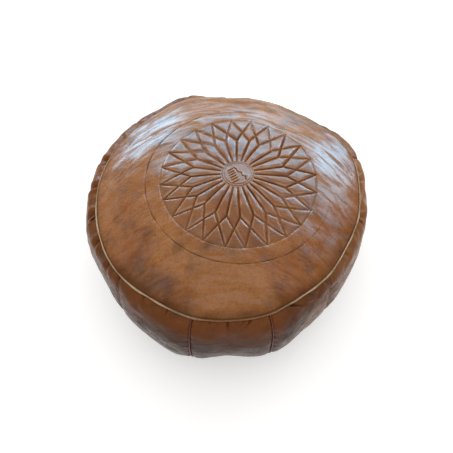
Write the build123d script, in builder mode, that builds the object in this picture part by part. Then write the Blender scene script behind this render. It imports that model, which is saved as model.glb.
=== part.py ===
from build123d import *
import os
from math import cos, pi, radians, sin

# Round leather pouf. The front faces -Y, +Z is up, and the origin is on the
# floor, under the middle of the whole shape. Lengths are in millimetres.

# Overall form
rim_radius = 250.0
seam_height = 222.0
dome_rise = 49.0
dome_fullness = 0.8
leather = 2.2

# Side panels. One panel's even share of a turn is the unit of the seam
# positions, counted from the front towards +X.
panel_count = 12
seam_turn_shares = (-0.46, 0.55, 1.53, 2.60, 3.70, 4.63, 5.60, 6.60, 7.47, 8.37, 9.37, 10.43)
# Rim radius at each seam and midway along each panel, as shares of rim_radius
rim_seam_shares = (1.020, 1.004, 0.975, 0.986, 1.045, 1.000, 0.992, 1.030, 0.992, 0.989, 0.990, 1.012)
rim_middle_shares = (1.012, 0.978, 0.965, 1.008, 1.035, 0.995, 0.982, 1.013, 0.991, 0.989, 1.004, 1.003)
# How far the belly stands out past the rim there, as shares of rim_radius
belly_seam_shares = (0.130, 0.130, 0.075, 0.090, 0.115, 0.085, 0.100, 0.160, 0.170, 0.155, 0.130, 0.085)
belly_middle_shares = (0.085, 0.090, 0.085, 0.095, 0.125, 0.090, 0.120, 0.140, 0.145, 0.125, 0.075, 0.120)
# Places along a panel, from one seam to the next, where its form is set
panel_section_shares = (0.0, 0.16, 0.5, 0.84, 1.0)
# How deep the seams draw the belly in
seam_draw = 4.0
# Profile of a side: share of the height going down, share of the bulge
upper_profile_shares = ((0.0, 0.0), (0.08, 0.6), (0.22, 0.9), (0.44, 1.0))
lower_profile_shares = ((0.66, 0.90), (0.85, 0.55), (1.0, 0.0))

# Welts
rim_welt = 2.4
rim_welt_reach = 2.0
rim_land = 8.0
side_welt = 1.6
side_welt_reach = 2.0
side_welt_depth = 6.0

# Base
base_seam_share = 0.86
base_seam_height = 15.0
foot_outer_share = 0.79
foot_inner_share = 0.69
recess_share = 0.585
recess = 12.0

# Zip. Each half of it reaches this share of the way across the drawn-in middle.
zip_reach_share = 0.855
tape = 0.8
tape_width = 15.0
tape_gap = 2.8
tape_tail = 10.0
tooth_pitch = 2.8
tooth_width = 1.0
tooth_height = 2.8
tooth_reach = 1.0
tooth_root = 3.4
slot_half_width = 6.5
stop_length = 3.0
stop_gap = 0.5
stop_inner = 0.4
stitch_length = 5.0
stitch_pitch = 7.5
stitch_width = 0.9
stitch_rise = 0.5
stitch_margin = 4.0

# Slider and pull
slider_length = 12.0
slider_plate = 1.2
slider_clearance = 0.4
slider_half_width = 5.0
slider_corner = 1.5
flange_width = 1.1
bridge_length = 8.0
bridge_width = 1.8
bridge_wall = 1.2
pivot_radius = 0.6
pivot_clearance = 0.3
pull_droop = 25.0
pull_width = 8.0
pull_window = 3.2
pull_window_length = 6.0
pull_hole_radius = 1.5
pull_corner = 2.0
floor_clearance = 0.5

# Inner bag and filling
bag_cloth = 1.0
bag_clearance = 0.3
bag_side_gap = 3.0
bag_dome_shares = (0.0, 0.2, 0.4, 0.6, 0.8, 0.92)

# Values that follow from the ones above
even_turn = 2 * pi / panel_count
base_seam_radius = base_seam_share * rim_radius
side_top = seam_height - rim_welt / 2
side_foot = base_seam_height + rim_welt / 2
side_drop = side_top - side_foot
dome_foot = seam_height + rim_welt / 2
recess_radius = recess_share * rim_radius
zip_length = 2 * zip_reach_share * recess_radius
chain_height = recess + leather + tape / 2
tooth_low = chain_height - tooth_height / 2


def seam_turn(number):
    """Position of a seam in even panel turns, where seam 12 is seam 0 a turn later."""
    return seam_turn_shares[number % panel_count] + panel_count * (number // panel_count)


def turn_along(panel, along):
    """Position in even panel turns, a share of the way along a panel."""
    return seam_turn(panel) + along * (seam_turn(panel + 1) - seam_turn(panel))


def share_along(at_seams, at_middles, panel, along):
    """Value a share of the way along a panel, between those at its seams and its middle."""
    middle = at_middles[panel]
    if along < 0.5:
        edge = at_seams[panel]
    else:
        edge = at_seams[(panel + 1) % panel_count]
    return middle + (edge - middle) * abs(2 * along - 1)


def rim_at(panel, along):
    """Radius of the rim."""
    return rim_radius * share_along(rim_seam_shares, rim_middle_shares, panel, along)


def belly_at(panel, along):
    """Radius of the widest part of the side."""
    bulge = rim_radius * share_along(belly_seam_shares, belly_middle_shares, panel, along)
    drawn_in = seam_draw if along in (0.0, 1.0) else 0
    return rim_at(panel, along) + bulge - drawn_in


def outward(turn):
    """Level direction that points out from the axis at a position."""
    return Vector(sin(turn * even_turn), -cos(turn * even_turn), 0)


def reach(direction):
    """How far the bellies reach from the axis in a level direction."""
    places = [(panel, along) for panel in range(panel_count) for along in panel_section_shares]
    return max(belly_at(*place) * outward(turn_along(*place)).dot(direction) for place in places)


# The axis of the pouf stands where the whole shape is centred on the origin.
axis_x = (reach(Vector(-1, 0, 0)) - reach(Vector(1, 0, 0))) / 2
axis_y = (reach(Vector(0, -1, 0)) - reach(Vector(0, 1, 0))) / 2
upright = Axis((axis_x, axis_y, 0), (0, 0, 1))
standing = Plane(origin=(axis_x, axis_y, 0), x_dir=(1, 0, 0), z_dir=(0, -1, 0))


def level(height):
    """Level plane, centred on the axis."""
    return Plane(origin=(axis_x, axis_y, height))


def radial(turn, sideways=0.0):
    """Upright plane that runs out from the axis, moved sideways towards later positions."""
    out = outward(turn)
    sidewise = Vector(0, 0, 1).cross(out)
    foot = Vector(axis_x, axis_y, 0) + sidewise * sideways
    return Plane(origin=foot, x_dir=out, z_dir=-sidewise)


def side_profile(rim, belly, offset=0.0):
    """Points down the outside of the sides, from the top seam to the base seam."""
    upper = [
        (rim + (belly - rim) * bulge + offset, side_top - side_drop * down)
        for down, bulge in upper_profile_shares
    ]
    lower = [
        (base_seam_radius + (belly - base_seam_radius) * bulge + offset, side_top - side_drop * down)
        for down, bulge in lower_profile_shares
    ]
    return upper + lower


def strip_outline(rim, belly, outer, inner):
    """Closed line round a strip that follows the side's profile between two offsets."""
    outside = Spline(*side_profile(rim, belly, outer))
    inside = Spline(*side_profile(rim, belly, inner))
    Line(outside @ 0, inside @ 0)
    Line(outside @ 1, inside @ 1)


def rim_points(share=1.0, offset=0.0):
    """Points round the top at a share of the way out. The outline is rounder further in."""
    points = []
    for panel in range(panel_count):
        for along in (0.0, 0.5):
            uneven = rim_at(panel, along) / rim_radius - 1
            radius = rim_radius * share * (1 + uneven * share**2) + offset * share
            points.append(outward(turn_along(panel, along)) * radius)
    return points


def rim_outline(share=1.0, offset=0.0):
    """Closed line round the top at a share of the way out."""
    Spline(*rim_points(share, offset), periodic=True)


def dome_height(share):
    """Height of the dome over its rim at a share of the way out."""
    return dome_rise * (1 - share**2) ** dome_fullness


dome_shares = (1.0, 0.93, 0.8, 0.6, 0.4, 0.2, 0.04)


# Top panel: a domed shell that stands on the rim welt
with BuildPart() as top_panel:
    with BuildSketch(level(dome_foot)):
        with BuildLine():
            rim_outline()
        make_face()
    extrude(amount=leather)
    for share in dome_shares:
        with BuildSketch(level(dome_foot + leather + dome_height(share))):
            with BuildLine():
                rim_outline(share)
            make_face()
    loft()
    for share in dome_shares:
        with BuildSketch(level(dome_foot + dome_height(share))):
            with BuildLine():
                rim_outline(share, -rim_land)
            make_face()
    loft(mode=Mode.SUBTRACT)
top_panel.part.label = "top_panel"

# Rim welt: the pale raw edge between the top and the sides
with BuildPart() as rim_welt_ring:
    with BuildSketch(level(side_top)):
        with BuildLine():
            rim_outline(offset=rim_welt_reach)
        make_face()
        with BuildLine():
            rim_outline(offset=-rim_land)
        make_face(mode=Mode.SUBTRACT)
    extrude(amount=rim_welt)
rim_welt_ring.part.label = "rim_welt"

# Side panels: leather shells that bulge between their seams
side_panels = []
for panel in range(panel_count):
    with BuildPart() as side_panel:
        for along in panel_section_shares:
            sideways = {0.0: side_welt / 2, 1.0: -side_welt / 2}.get(along, 0)
            with BuildSketch(radial(turn_along(panel, along), sideways)):
                with BuildLine():
                    strip_outline(rim_at(panel, along), belly_at(panel, along), 0, -leather)
                make_face()
        loft()
    side_panel.part.label = f"side_panel_{panel + 1:02d}"
    side_panels.append(side_panel)

# Side welts: thin strips that stand in the seams between the side panels
side_welts = []
for seam in range(panel_count):
    with BuildPart() as side_welt_strip:
        with BuildSketch(radial(seam_turn(seam))):
            with BuildLine():
                strip_outline(rim_at(seam, 0.0), belly_at(seam, 0.0), side_welt_reach, -side_welt_depth)
            make_face()
        extrude(amount=side_welt / 2, both=True)
    side_welt_strip.part.label = f"side_welt_{seam + 1:02d}"
    side_welts.append(side_welt_strip)

# Base welt: the ring in the seam between the sides and the base
with BuildPart() as base_welt:
    with BuildSketch(level(base_seam_height - rim_welt / 2)):
        Circle(base_seam_radius + rim_welt_reach / 2)
        Circle(base_seam_radius - rim_land, mode=Mode.SUBTRACT)
    extrude(amount=rim_welt)
base_welt.part.label = "base_welt"

# Base panels: two halves that meet at the zip. They roll under from the base
# seam, stand flat on the floor, and are drawn in towards the zip.
base_edge = base_seam_height - rim_welt / 2
foot_outer = foot_outer_share * rim_radius
foot_inner = foot_inner_share * rim_radius
slot_half_length = zip_length / 2 + stop_length + 2 * stop_gap


def base_half(side):
    """Front (-1) or back (+1) half of the base."""
    with BuildPart() as half:
        with BuildSketch(standing):
            with BuildLine():
                outer_roll = TangentArc((foot_outer, 0), (base_seam_radius, base_edge), tangent=(1, 0))
                inner_roll = TangentArc(
                    (foot_outer, leather), (base_seam_radius - rim_land, base_edge), tangent=(1, 0)
                )
                Line(outer_roll @ 1, inner_roll @ 1)
                outer_rise = Spline((foot_inner, 0), (recess_radius, recess), tangents=((-1, 0), (-1, 0)))
                inner_rise = Spline(
                    (foot_inner, leather), (recess_radius, recess + leather), tangents=((-1, 0), (-1, 0))
                )
                Line(outer_roll @ 0, outer_rise @ 0)
                Line(inner_roll @ 0, inner_rise @ 0)
                outer_middle = Line(outer_rise @ 1, (0, recess))
                inner_middle = Line(inner_rise @ 1, (0, recess + leather))
                Line(outer_middle @ 1, inner_middle @ 1)
            make_face()
        revolve(axis=upright)
        split(bisect_by=Plane(origin=(axis_x, axis_y, 0), z_dir=(0, side, 0)), keep=Keep.TOP)
        with BuildSketch(level(recess)):
            SlotOverall(2 * slot_half_length + 2 * slot_half_width, 2 * slot_half_width)
        extrude(amount=leather, mode=Mode.SUBTRACT)
    return half


base_panel_front = base_half(-1)
base_panel_front.part.label = "base_panel_front"
base_panel_back = base_half(1)
base_panel_back.part.label = "base_panel_back"

# Zip tapes: sewn on the inside of the base, one to each half
tape_length = 2 * slot_half_length + 2 * tape_tail


def zip_tape(side):
    """Tape on the front (-1) or back (+1) half."""
    with BuildPart() as strip:
        with BuildSketch(level(recess + leather)):
            with Locations((0, side * (tape_gap + tape_width) / 2)):
                Rectangle(tape_length, tape_width)
        extrude(amount=tape)
    return strip


zip_tape_front = zip_tape(-1)
zip_tape_front.part.label = "zip_tape_front"
zip_tape_back = zip_tape(1)
zip_tape_back.part.label = "zip_tape_back"

# Zip teeth: each row clamps its own tape and reaches past the middle between
# the teeth of the other row
tooth_count = int(zip_length / tooth_pitch)


def tooth_row(side):
    """Teeth of the front (-1) or back (+1) row."""
    with BuildPart() as row:
        with BuildSketch(level(tooth_low)):
            with Locations((side * tooth_pitch / 4, side * (tooth_root - tooth_reach) / 2)):
                with GridLocations(tooth_pitch, tooth_pitch, tooth_count, 1):
                    Rectangle(tooth_width, tooth_root + tooth_reach)
        extrude(amount=tooth_height)
        with BuildSketch(level(recess + leather)):
            with Locations((0, side * (tape_gap + tape_width) / 2)):
                Rectangle(tape_length, tape_width)
        extrude(amount=tape, mode=Mode.SUBTRACT)
    return row


zip_teeth_front = tooth_row(-1)
zip_teeth_front.part.label = "zip_teeth_front"
zip_teeth_back = tooth_row(1)
zip_teeth_back.part.label = "zip_teeth_back"

# Stops: one on each tape at the closed end, and one across both at the other
stop_x = zip_length / 2 + stop_gap + stop_length / 2
stop_spacing = tooth_root + stop_inner
stop_width = tooth_root - stop_inner
with BuildPart() as zip_closed_stops:
    with BuildSketch(level(tooth_low)):
        with Locations((stop_x, 0)):
            with GridLocations(tooth_pitch, stop_spacing, 1, 2):
                Rectangle(stop_length, stop_width)
    extrude(amount=tooth_height)
    with BuildSketch(level(recess + leather)):
        with GridLocations(tape_length, tape_gap + tape_width, 1, 2):
            Rectangle(tape_length, tape_width)
    extrude(amount=tape, mode=Mode.SUBTRACT)
zip_closed_stops.part.label = "zip_closed_stops"

with BuildPart() as zip_open_stop:
    with BuildSketch(level(tooth_low)):
        with Locations((-stop_x, 0)):
            Rectangle(stop_length, 2 * tooth_root)
    extrude(amount=tooth_height)
    with BuildSketch(level(recess + leather)):
        with GridLocations(tape_length, tape_gap + tape_width, 1, 2):
            Rectangle(tape_length, tape_width)
    extrude(amount=tape, mode=Mode.SUBTRACT)
zip_open_stop.part.label = "zip_open_stop"

# Stitches that hold the tapes, along both sides of the zip
stitch_count = int(2 * slot_half_length / stitch_pitch)
with BuildPart() as zip_stitches:
    with BuildSketch(level(recess - stitch_rise)):
        with GridLocations(stitch_pitch, 2 * (slot_half_width + stitch_margin), stitch_count, 2):
            SlotOverall(stitch_length, stitch_width)
    extrude(amount=stitch_rise)
zip_stitches.part.label = "zip_stitches"

# Slider: an outer and an inner channel that run along the closed teeth, and a
# bridge under the outer one that holds the pull
slider_x = zip_length / 2 - stop_gap - slider_length / 2
plate_inside = tooth_height / 2 + slider_clearance
flange_inside = tape / 2 + slider_clearance
bridge_drop = 2 * (pivot_radius + pivot_clearance)
slider_low = chain_height - plate_inside - slider_plate
pivot_height = slider_low - pivot_radius - pivot_clearance
with BuildPart() as zip_slider:
    for up in (-1, 1):
        plate_foot = chain_height + up * plate_inside
        with BuildSketch(level(plate_foot)):
            with Locations((slider_x, 0)):
                RectangleRounded(slider_length, 2 * slider_half_width, slider_corner)
        extrude(amount=up * slider_plate)
        with BuildSketch(level(plate_foot)):
            with Locations((slider_x, 0)):
                with GridLocations(slider_length, 2 * slider_half_width - flange_width, 1, 2):
                    Rectangle(slider_length - 2 * slider_corner, flange_width)
        extrude(amount=-up * (plate_inside - flange_inside))
    with BuildSketch(standing):
        with Locations((slider_x, slider_low - (bridge_drop + bridge_wall) / 2)):
            Rectangle(bridge_length, bridge_drop + bridge_wall)
        with Locations((slider_x, slider_low - bridge_drop / 2)):
            Rectangle(bridge_length - 2 * bridge_wall, bridge_drop, mode=Mode.SUBTRACT)
    extrude(amount=bridge_width / 2, both=True)
zip_slider.part.label = "zip_slider"

# Pull: hangs on a bar through the bridge and droops until it almost touches
# the floor, with its tip towards the open end
droop = radians(pull_droop)
pull_length = (pivot_height - floor_clearance - pivot_radius * cos(droop)) / sin(droop)
pull_plane = Plane(
    origin=(axis_x + slider_x, axis_y, pivot_height),
    x_dir=(-cos(droop), 0, -sin(droop)),
    z_dir=(-sin(droop), 0, cos(droop)),
)
with BuildPart() as zip_pull:
    with BuildSketch(pull_plane):
        with Locations(((pull_length - pivot_radius) / 2, 0)):
            RectangleRounded(pull_length + pivot_radius, pull_width, pull_corner)
        with Locations((pivot_radius + pull_window_length / 2, 0)):
            Rectangle(pull_window_length, pull_window, mode=Mode.SUBTRACT)
        with Locations((pull_length - 2 * pull_hole_radius, 0)):
            Circle(pull_hole_radius, mode=Mode.SUBTRACT)
    extrude(amount=pivot_radius, both=True)
zip_pull.part.label = "zip_pull"

# Inner bag and filling
least_rim = rim_radius * min(rim_seam_shares + rim_middle_shares)
least_belly = min(belly_at(panel, 0.0) for panel in range(panel_count))
slider_top = chain_height + plate_inside + slider_plate


def bag_outline(inset):
    """Closed half outline of the bag, set in all round."""
    dome = [
        ((least_rim - rim_land) * share, dome_foot + dome_height(share) - bag_clearance - inset)
        for share in bag_dome_shares
    ]
    raised = slider_top + bag_clearance + inset
    seat = leather + bag_clearance + inset
    crown = Spline(*dome)
    side = Spline(*side_profile(least_rim, least_belly, -rim_land - bag_side_gap - 2 * inset))
    Line(crown @ 1, side @ 0)
    Line(side @ 1, (foot_outer - inset, seat))
    Line((foot_outer - inset, seat), (foot_inner, seat))
    Line((foot_inner, seat), (recess_radius, raised))
    Line((recess_radius, raised), (0, raised))
    Line((0, raised), crown @ 0)


with BuildPart() as inner_bag:
    with BuildSketch(standing):
        with BuildLine():
            bag_outline(0)
        make_face()
        with BuildLine():
            bag_outline(bag_cloth)
        make_face(mode=Mode.SUBTRACT)
    revolve(axis=upright)
inner_bag.part.label = "inner_bag"

with BuildPart() as filling:
    with BuildSketch(standing):
        with BuildLine():
            bag_outline(bag_cloth)
        make_face()
    revolve(axis=upright)
filling.part.label = "filling"

pieces = [top_panel, rim_welt_ring, *side_panels, *side_welts, base_welt, base_panel_front, base_panel_back]
pieces += [zip_tape_front, zip_tape_back, zip_teeth_front, zip_teeth_back, zip_closed_stops, zip_open_stop]
pieces += [zip_stitches, zip_slider, zip_pull, inner_bag, filling]
os.makedirs("parts", exist_ok=True)
for piece in pieces:
    export_step(piece.part, f"parts/{piece.part.label}.step")
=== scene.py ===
from math import cos, pi, radians, sin, tau

import bmesh
import bpy
import numpy as np
from bpy.props import FloatProperty, FloatVectorProperty, IntProperty, PointerProperty
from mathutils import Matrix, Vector


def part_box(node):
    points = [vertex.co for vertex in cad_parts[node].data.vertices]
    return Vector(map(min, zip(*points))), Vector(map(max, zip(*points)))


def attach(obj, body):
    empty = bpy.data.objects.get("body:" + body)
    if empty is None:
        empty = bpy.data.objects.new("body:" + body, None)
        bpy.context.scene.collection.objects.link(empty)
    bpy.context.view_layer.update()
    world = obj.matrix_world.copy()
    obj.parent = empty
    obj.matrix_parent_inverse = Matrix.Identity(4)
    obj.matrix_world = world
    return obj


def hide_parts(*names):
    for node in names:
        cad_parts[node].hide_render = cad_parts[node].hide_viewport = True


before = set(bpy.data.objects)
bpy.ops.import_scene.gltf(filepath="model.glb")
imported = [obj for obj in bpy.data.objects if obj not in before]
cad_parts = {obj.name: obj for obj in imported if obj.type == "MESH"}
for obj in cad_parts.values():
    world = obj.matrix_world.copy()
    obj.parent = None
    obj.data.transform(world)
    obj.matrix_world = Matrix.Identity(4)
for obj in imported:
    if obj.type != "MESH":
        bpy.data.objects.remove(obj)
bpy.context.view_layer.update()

bl_info = {
    "name": "Tooled leather pouf",
    "version": (1, 0, 0),
    "blender": (4, 5, 0),
    "location": "3D View > Sidebar > Pouf",
    "description": "Builds a round leather pouf with a tooled top, welted seams and a zip in its base",
    "category": "Add Mesh",
}

MM = 0.001

# The pouf's axis, and the camera the photograph was taken with
WELT_LOW, WELT_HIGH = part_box("base_welt")
AXIS = np.array((WELT_LOW + WELT_HIGH)[:2]) / 2
EYE = (-0.0008, -0.6493, 1.1863)
EYE_TILT = radians(31)
EYE_LENS = 48.48
EYE_SENSOR = 36.0

# Positions round the pouf are counted in even panel turns from the front towards +X
PANELS = 12
EVEN_TURN = tau / PANELS
SEAM_TURNS = (-0.46, 0.55, 1.53, 2.60, 3.70, 4.63, 5.60, 6.60, 7.47, 8.37, 9.37, 10.43)
RIM_AT_SEAMS = (1.020, 1.004, 0.975, 0.986, 1.045, 1.000, 0.992, 1.030, 0.992, 0.989, 0.990, 1.012)
RIM_AT_MIDDLES = (1.012, 0.978, 0.965, 1.008, 1.035, 0.995, 0.982, 1.013, 0.991, 0.989, 1.004, 1.003)
BULGE_AT_SEAMS = (0.130, 0.130, 0.075, 0.090, 0.115, 0.085, 0.100, 0.160, 0.170, 0.155, 0.130, 0.085)
BULGE_AT_MIDDLES = (0.085, 0.090, 0.085, 0.095, 0.125, 0.090, 0.120, 0.140, 0.145, 0.125, 0.075, 0.120)

# How strongly each seam draws the leather in
SEAM_DRAW_SHARES = (1.0, 1.0, 0.55, 0.4, 0.3, 0.7, 0.7, 0.7, 0.6, 0.6, 0.5, 0.5)

# The roll of leather under the top seam: how far down, how wide, how far out everywhere,
# and how much further where it is fullest, at two positions with the turns over which it fades
ROLL_DROP, ROLL_SPREAD, ROLL_RISE, ROLL_EXTRA = 0.020, 0.013, 0.0010, 0.0026
ROLL_TURNS = ((8.7, 1.7), (3.6, 1.6))

# How the sides turn in at their seams: how wide and how deep
SEAM_TUCK = (0.0045, 0.0026)
TOP_TUCK = (0.0035, 0.0022)
BASE_TUCK = (0.004, 0.0016)

# Profile of a side: share of the height going down, share of the bulge
UPPER_PROFILE = ((0.0, 0.0), (0.08, 0.6), (0.22, 0.9), (0.44, 1.0))
LOWER_PROFILE = ((0.66, 0.90), (0.85, 0.55), (1.0, 0.0))

# Creases in the sides where they are gathered into the top seam:
# panel, share of the way along it, length, depth, lean, and width, in millimetres
PUCKERS = (
    (0, 0.45, 34, 3.4, 0.02, 2.6),
    (0, 0.67, 16, 2.6, -0.25, 2.2),
    (0, 0.75, 26, 3.2, -0.30, 2.4),
    (0, 0.22, 14, 1.4, 0.15, 2.4),
    (1, 0.31, 24, 5.0, 0.55, 3.0),
    (1, 0.62, 14, 1.6, 0.20, 2.4),
    (1, 0.93, 18, 2.6, 0.10, 2.4),
    (2, 0.44, 20, 3.0, 0.10, 2.6),
    (2, 0.80, 16, 2.2, -0.20, 2.4),
    (3, 0.06, 24, 4.0, 0.10, 3.0),
    (3, 0.63, 26, 4.6, 0.10, 3.0),
    (4, 0.30, 20, 2.6, 0.20, 2.6),
    (4, 0.72, 28, 3.4, -0.20, 3.0),
    (5, 0.20, 24, 3.2, 0.15, 2.8),
    (5, 0.55, 18, 2.4, -0.10, 2.6),
    (6, 0.35, 26, 3.4, 0.20, 2.8),
    (6, 0.70, 22, 2.8, -0.30, 2.6),
    (7, 0.25, 18, 2.8, 0.10, 2.6),
    (7, 0.66, 24, 3.2, 0.25, 2.8),
    (8, 0.45, 22, 3.2, -0.15, 2.8),
    (8, 0.93, 36, 6.0, 0.02, 3.6),
    (9, 0.42, 38, 6.5, 0.06, 3.8),
    (9, 0.90, 38, 6.5, 0.08, 3.8),
    (10, 0.33, 40, 6.5, 0.06, 3.8),
    (10, 0.71, 26, 5.0, 0.04, 3.2),
    (10, 0.95, 22, 3.0, 0.10, 2.8),
    (11, 0.35, 20, 2.2, 0.20, 2.6),
    (11, 0.70, 24, 2.4, -0.10, 2.8),
)

# The side leather as cloth, and the frames it swells for
CLOTH_FRAMES = 20
CLOTH_SETTINGS = {
    "quality": 6,
    "mass": 0.6,
    "tension_stiffness": 30,
    "compression_stiffness": 30,
    "shear_stiffness": 12,
    "bending_stiffness": 2.0,
    "vertex_group_mass": "held",
    "use_pressure": True,
}

# The rosette's middle from the axis, and the medallion's from the rosette's
ROSETTE_CENTRE = np.array((0.0203, 0.0103))
MEDALLION_SHIFT = np.array((-0.0025, 0.0024))

# The scalloped line in the medallion, in shares of its radius
SCALLOPS = (
    (-0.28, 0.55),
    (-0.10, 0.40),
    (0.02, 0.14),
    (0.22, 0.08),
    (0.30, -0.16),
    (0.52, -0.22),
    (0.54, -0.48),
)

# Beside each straight line, on one side, its lip is paler, partly worn and partly painted highlight: how far
# off, how wide and how far out, in groove widths
LIP_OFFSET, LIP_WIDTH, LIP_REACH = 2.1, 0.90, 3.9

# Columns and rows of a side panel, and of the coarser one that swells
PANEL_GRID = (73, 109)
SWELL_GRID = (37, 49)

# How far the rim welt stands proud of its seam, and how deep the other welts sit in theirs
RIM_WELT_PROUD = 0.0026
SUNK_IN_DEEP_SEAM, SUNK_IN_SEAM = 0.0018, 0.0034
BASE_WELT_SUNK = 0.0033

# Gaps inside the leather: of the top's lining at its rim, and of the filling at the top and sides
LINING_GAP = 0.008
BAG_GAP_TOP, BAG_GAP_SIDE = 0.012, 0.010

# Thickness of the zip's tapes, and the depth of their ribs
TAPE_THICKNESS = 0.0008
RIB_DEPTH = 0.00012

# Where the zip's stitches stand from its middle line, and half the size of one
STITCH_OFFSET = 0.0105
STITCH_HALVES = (0.0026, 0.00045, 0.0004)

# Soft bright fields that the glazed top mirrors, in degrees: turn from the back towards +X, rise,
# how far from its middle a field fades out, how far it is full, and its strength
WINDOWS = (
    (-27, 20, 17, 7, 10.5),
    (38, 24, 17, 5, 10.5),
    (2, 42, 28, 12, 7.4),
    (6, 20, 22, 8, 1.0),
    (32, 45, 19, 6, 4.8),
    (58, 42, 18, 5, 3.8),
)
WINDOW_TINT = (0.22, 0.66, 1.0)

# Weak lamps behind the pouf: place, width and height, and power
LAMPS = {
    "window_left": ((-1.15, 1.70, 0.95), (1.0, 0.9), 6.0),
    "window_right": ((1.35, 1.45, 1.15), (0.8, 0.9), 5.0),
    "window_middle": ((0.10, 2.3, 1.05), (2.2, 0.8), 9.0),
}
LAMP_TINT = (0.86, 0.93, 1.0)
LAMP_AIM = Vector((0.0, 0.0, 0.15))


def metres(name, description, value):
    """Length that a user can change."""
    return FloatProperty(name=name, description=description, default=value, unit="LENGTH")


def colour(name, description, value):
    """Colour that a user can change."""
    return FloatVectorProperty(
        name=name, description=description, default=value, subtype="COLOR", size=3, min=0.0, max=1.0
    )


class PoufSizes(bpy.types.PropertyGroup):
    """Sizes of the pouf"""

    rim_radius: metres("Rim radius", "Mean radius of the top seam", 0.250)
    seam_height: metres("Seam height", "Height of the top seam over the floor", 0.222)
    dome_rise: metres("Dome rise", "Rise of the top over its seam", 0.049)
    dome_fullness: FloatProperty(
        name="Dome fullness", description="Lower is flatter in the middle and steeper at the rim", default=0.8
    )
    leather: metres("Leather", "Thickness of the leather", 0.0022)
    welt: metres("Rim welt", "Thickness of the welts at top and base", 0.0024)
    side_welt: metres("Side welt", "Thickness of the welts between side panels", 0.0016)
    seam_draw: metres("Seam draw", "How deep the front seams draw the sides in", 0.004)
    side_slack: FloatProperty(
        name="Side slack",
        description="Share by which the side leather is cut larger than its place",
        default=0.004,
    )
    side_pressure: FloatProperty(
        name="Side pressure", description="Pressure of the filling on the side leather", default=4.0
    )
    side_swell: metres("Side swell", "Furthest that the side leather may move", 0.0030)
    rosette_radius: metres("Rosette radius", "Radius of the circle round the rosette", 0.1458)
    medallion_radius: metres("Medallion radius", "Radius of the ring in the middle", 0.0287)
    guide_radius: metres("Guide radius", "Radius of the larger guide circle", 0.1738)
    rosette_points: IntProperty(
        name="Rosette points", description="Petals of the rosette", default=24, min=6, max=48
    )
    groove_depth: metres("Groove depth", "Depth of the tooled lines", 0.0023)
    groove_width: metres("Groove width", "Half the width of the tooled lines", 0.0014)
    petal_puff: metres("Petal puff", "Rise of the petals between the lines", 0.0030)
    base_seam_radius: metres("Base seam radius", "Radius of the seam under the sides", 0.215)
    base_seam_height: metres("Base seam height", "Height of the seam under the sides", 0.015)
    foot_outer: metres("Foot outer radius", "Outer radius of the flat foot", 0.1975)
    foot_inner: metres("Foot inner radius", "Inner radius of the flat foot", 0.1725)
    recess_radius: metres("Recess radius", "Radius of the drawn-in middle of the base", 0.14625)
    recess: metres("Recess", "How far the middle of the base is drawn in", 0.012)
    zip_length: metres("Zip length", "Length of the rows of teeth", 0.25009)
    tooth_pitch: metres("Tooth pitch", "Distance from tooth to tooth", 0.0028)
    slot_half_width: metres("Slot half width", "Half the width of the opening over the zip", 0.0065)
    slot_half_length: metres("Slot half length", "Half the straight length of that opening", 0.12905)
    stitch_pitch: metres("Stitch pitch", "Distance from stitch to stitch", 0.0075)


class PoufColours(bpy.types.PropertyGroup):
    """Colours of the pouf's materials"""

    tan: colour("Tan", "Middle tone of the leather", (0.300, 0.092, 0.016))
    light_tan: colour("Light tan", "Lighter patches of the leather", (0.400, 0.158, 0.044))
    dark_tan: colour("Dark tan", "Darker patches of the leather", (0.100, 0.034, 0.011))
    # Pale lips beside the tooled lines: partly wear and partly painted highlight
    pale_lip_tan: colour("Rubbed tan", "Worn edges of the tooled lines", (0.640, 0.430, 0.310))
    # Sides: the leather darkened as painted shade
    shaded_side_tan: colour("Side tan", "Middle tone of the sides", (0.034, 0.010, 0.003))
    raw_edge: colour("Raw edge", "Cut edge of the leather at the top seam", (0.640, 0.490, 0.320))
    maroon: colour("Maroon", "Dyed welts between the side panels", (0.190, 0.024, 0.020))
    base_brown: colour("Base brown", "Plain leather under the pouf", (0.150, 0.075, 0.038))
    brass: colour("Brass", "Zip teeth, stops, slider and pull", (0.520, 0.360, 0.150))
    tape: colour("Tape", "Cotton tape of the zip", (0.110, 0.060, 0.032))
    thread: colour("Thread", "Stitching of the zip", (0.520, 0.380, 0.220))
    cotton: colour("Cotton", "Inner bag", (0.720, 0.660, 0.540))
    wadding: colour("Wadding", "Filling", (0.780, 0.750, 0.680))


# Values and places round the pouf


class RoundValue:
    """A value that changes smoothly round the pouf, through its values at seams and panel middles."""

    def __init__(self, at_seams, at_middles):
        seams = np.array(SEAM_TURNS)
        middles = (seams + np.append(seams[1:], seams[0] + PANELS)) / 2
        self.places = np.stack([seams, middles], 1).ravel()
        self.values = np.stack([at_seams, at_middles], 1).ravel()
        self.gaps = np.diff(np.append(self.places, self.places[0] + PANELS))
        count = len(self.places)
        matrix = np.zeros((count, count))
        change = np.zeros(count)
        for index in range(count):
            before, after = self.gaps[index - 1], self.gaps[index]
            following = (index + 1) % count
            matrix[index, index - 1] += before / 6
            matrix[index, index] += (before + after) / 3
            matrix[index, following] += after / 6
            change[index] = (self.values[following] - self.values[index]) / after
            change[index] -= (self.values[index] - self.values[index - 1]) / before
        self.bends = np.linalg.solve(matrix, change)

    def __call__(self, turn):
        start = self.places[0]
        turn = (np.asarray(turn, float) - start) % PANELS + start
        index = np.searchsorted(self.places, turn, side="right") - 1
        following = (index + 1) % len(self.places)
        gap = self.gaps[index]
        far = (turn - self.places[index]) / gap
        near = 1 - far
        line = near * self.values[index] + far * self.values[following]
        bow = (near**3 - near) * self.bends[index] + (far**3 - far) * self.bends[following]
        return line + bow * gap**2 / 6


rim_share = RoundValue(RIM_AT_SEAMS, RIM_AT_MIDDLES)
bulge_share = RoundValue(BULGE_AT_SEAMS, BULGE_AT_MIDDLES)


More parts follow.
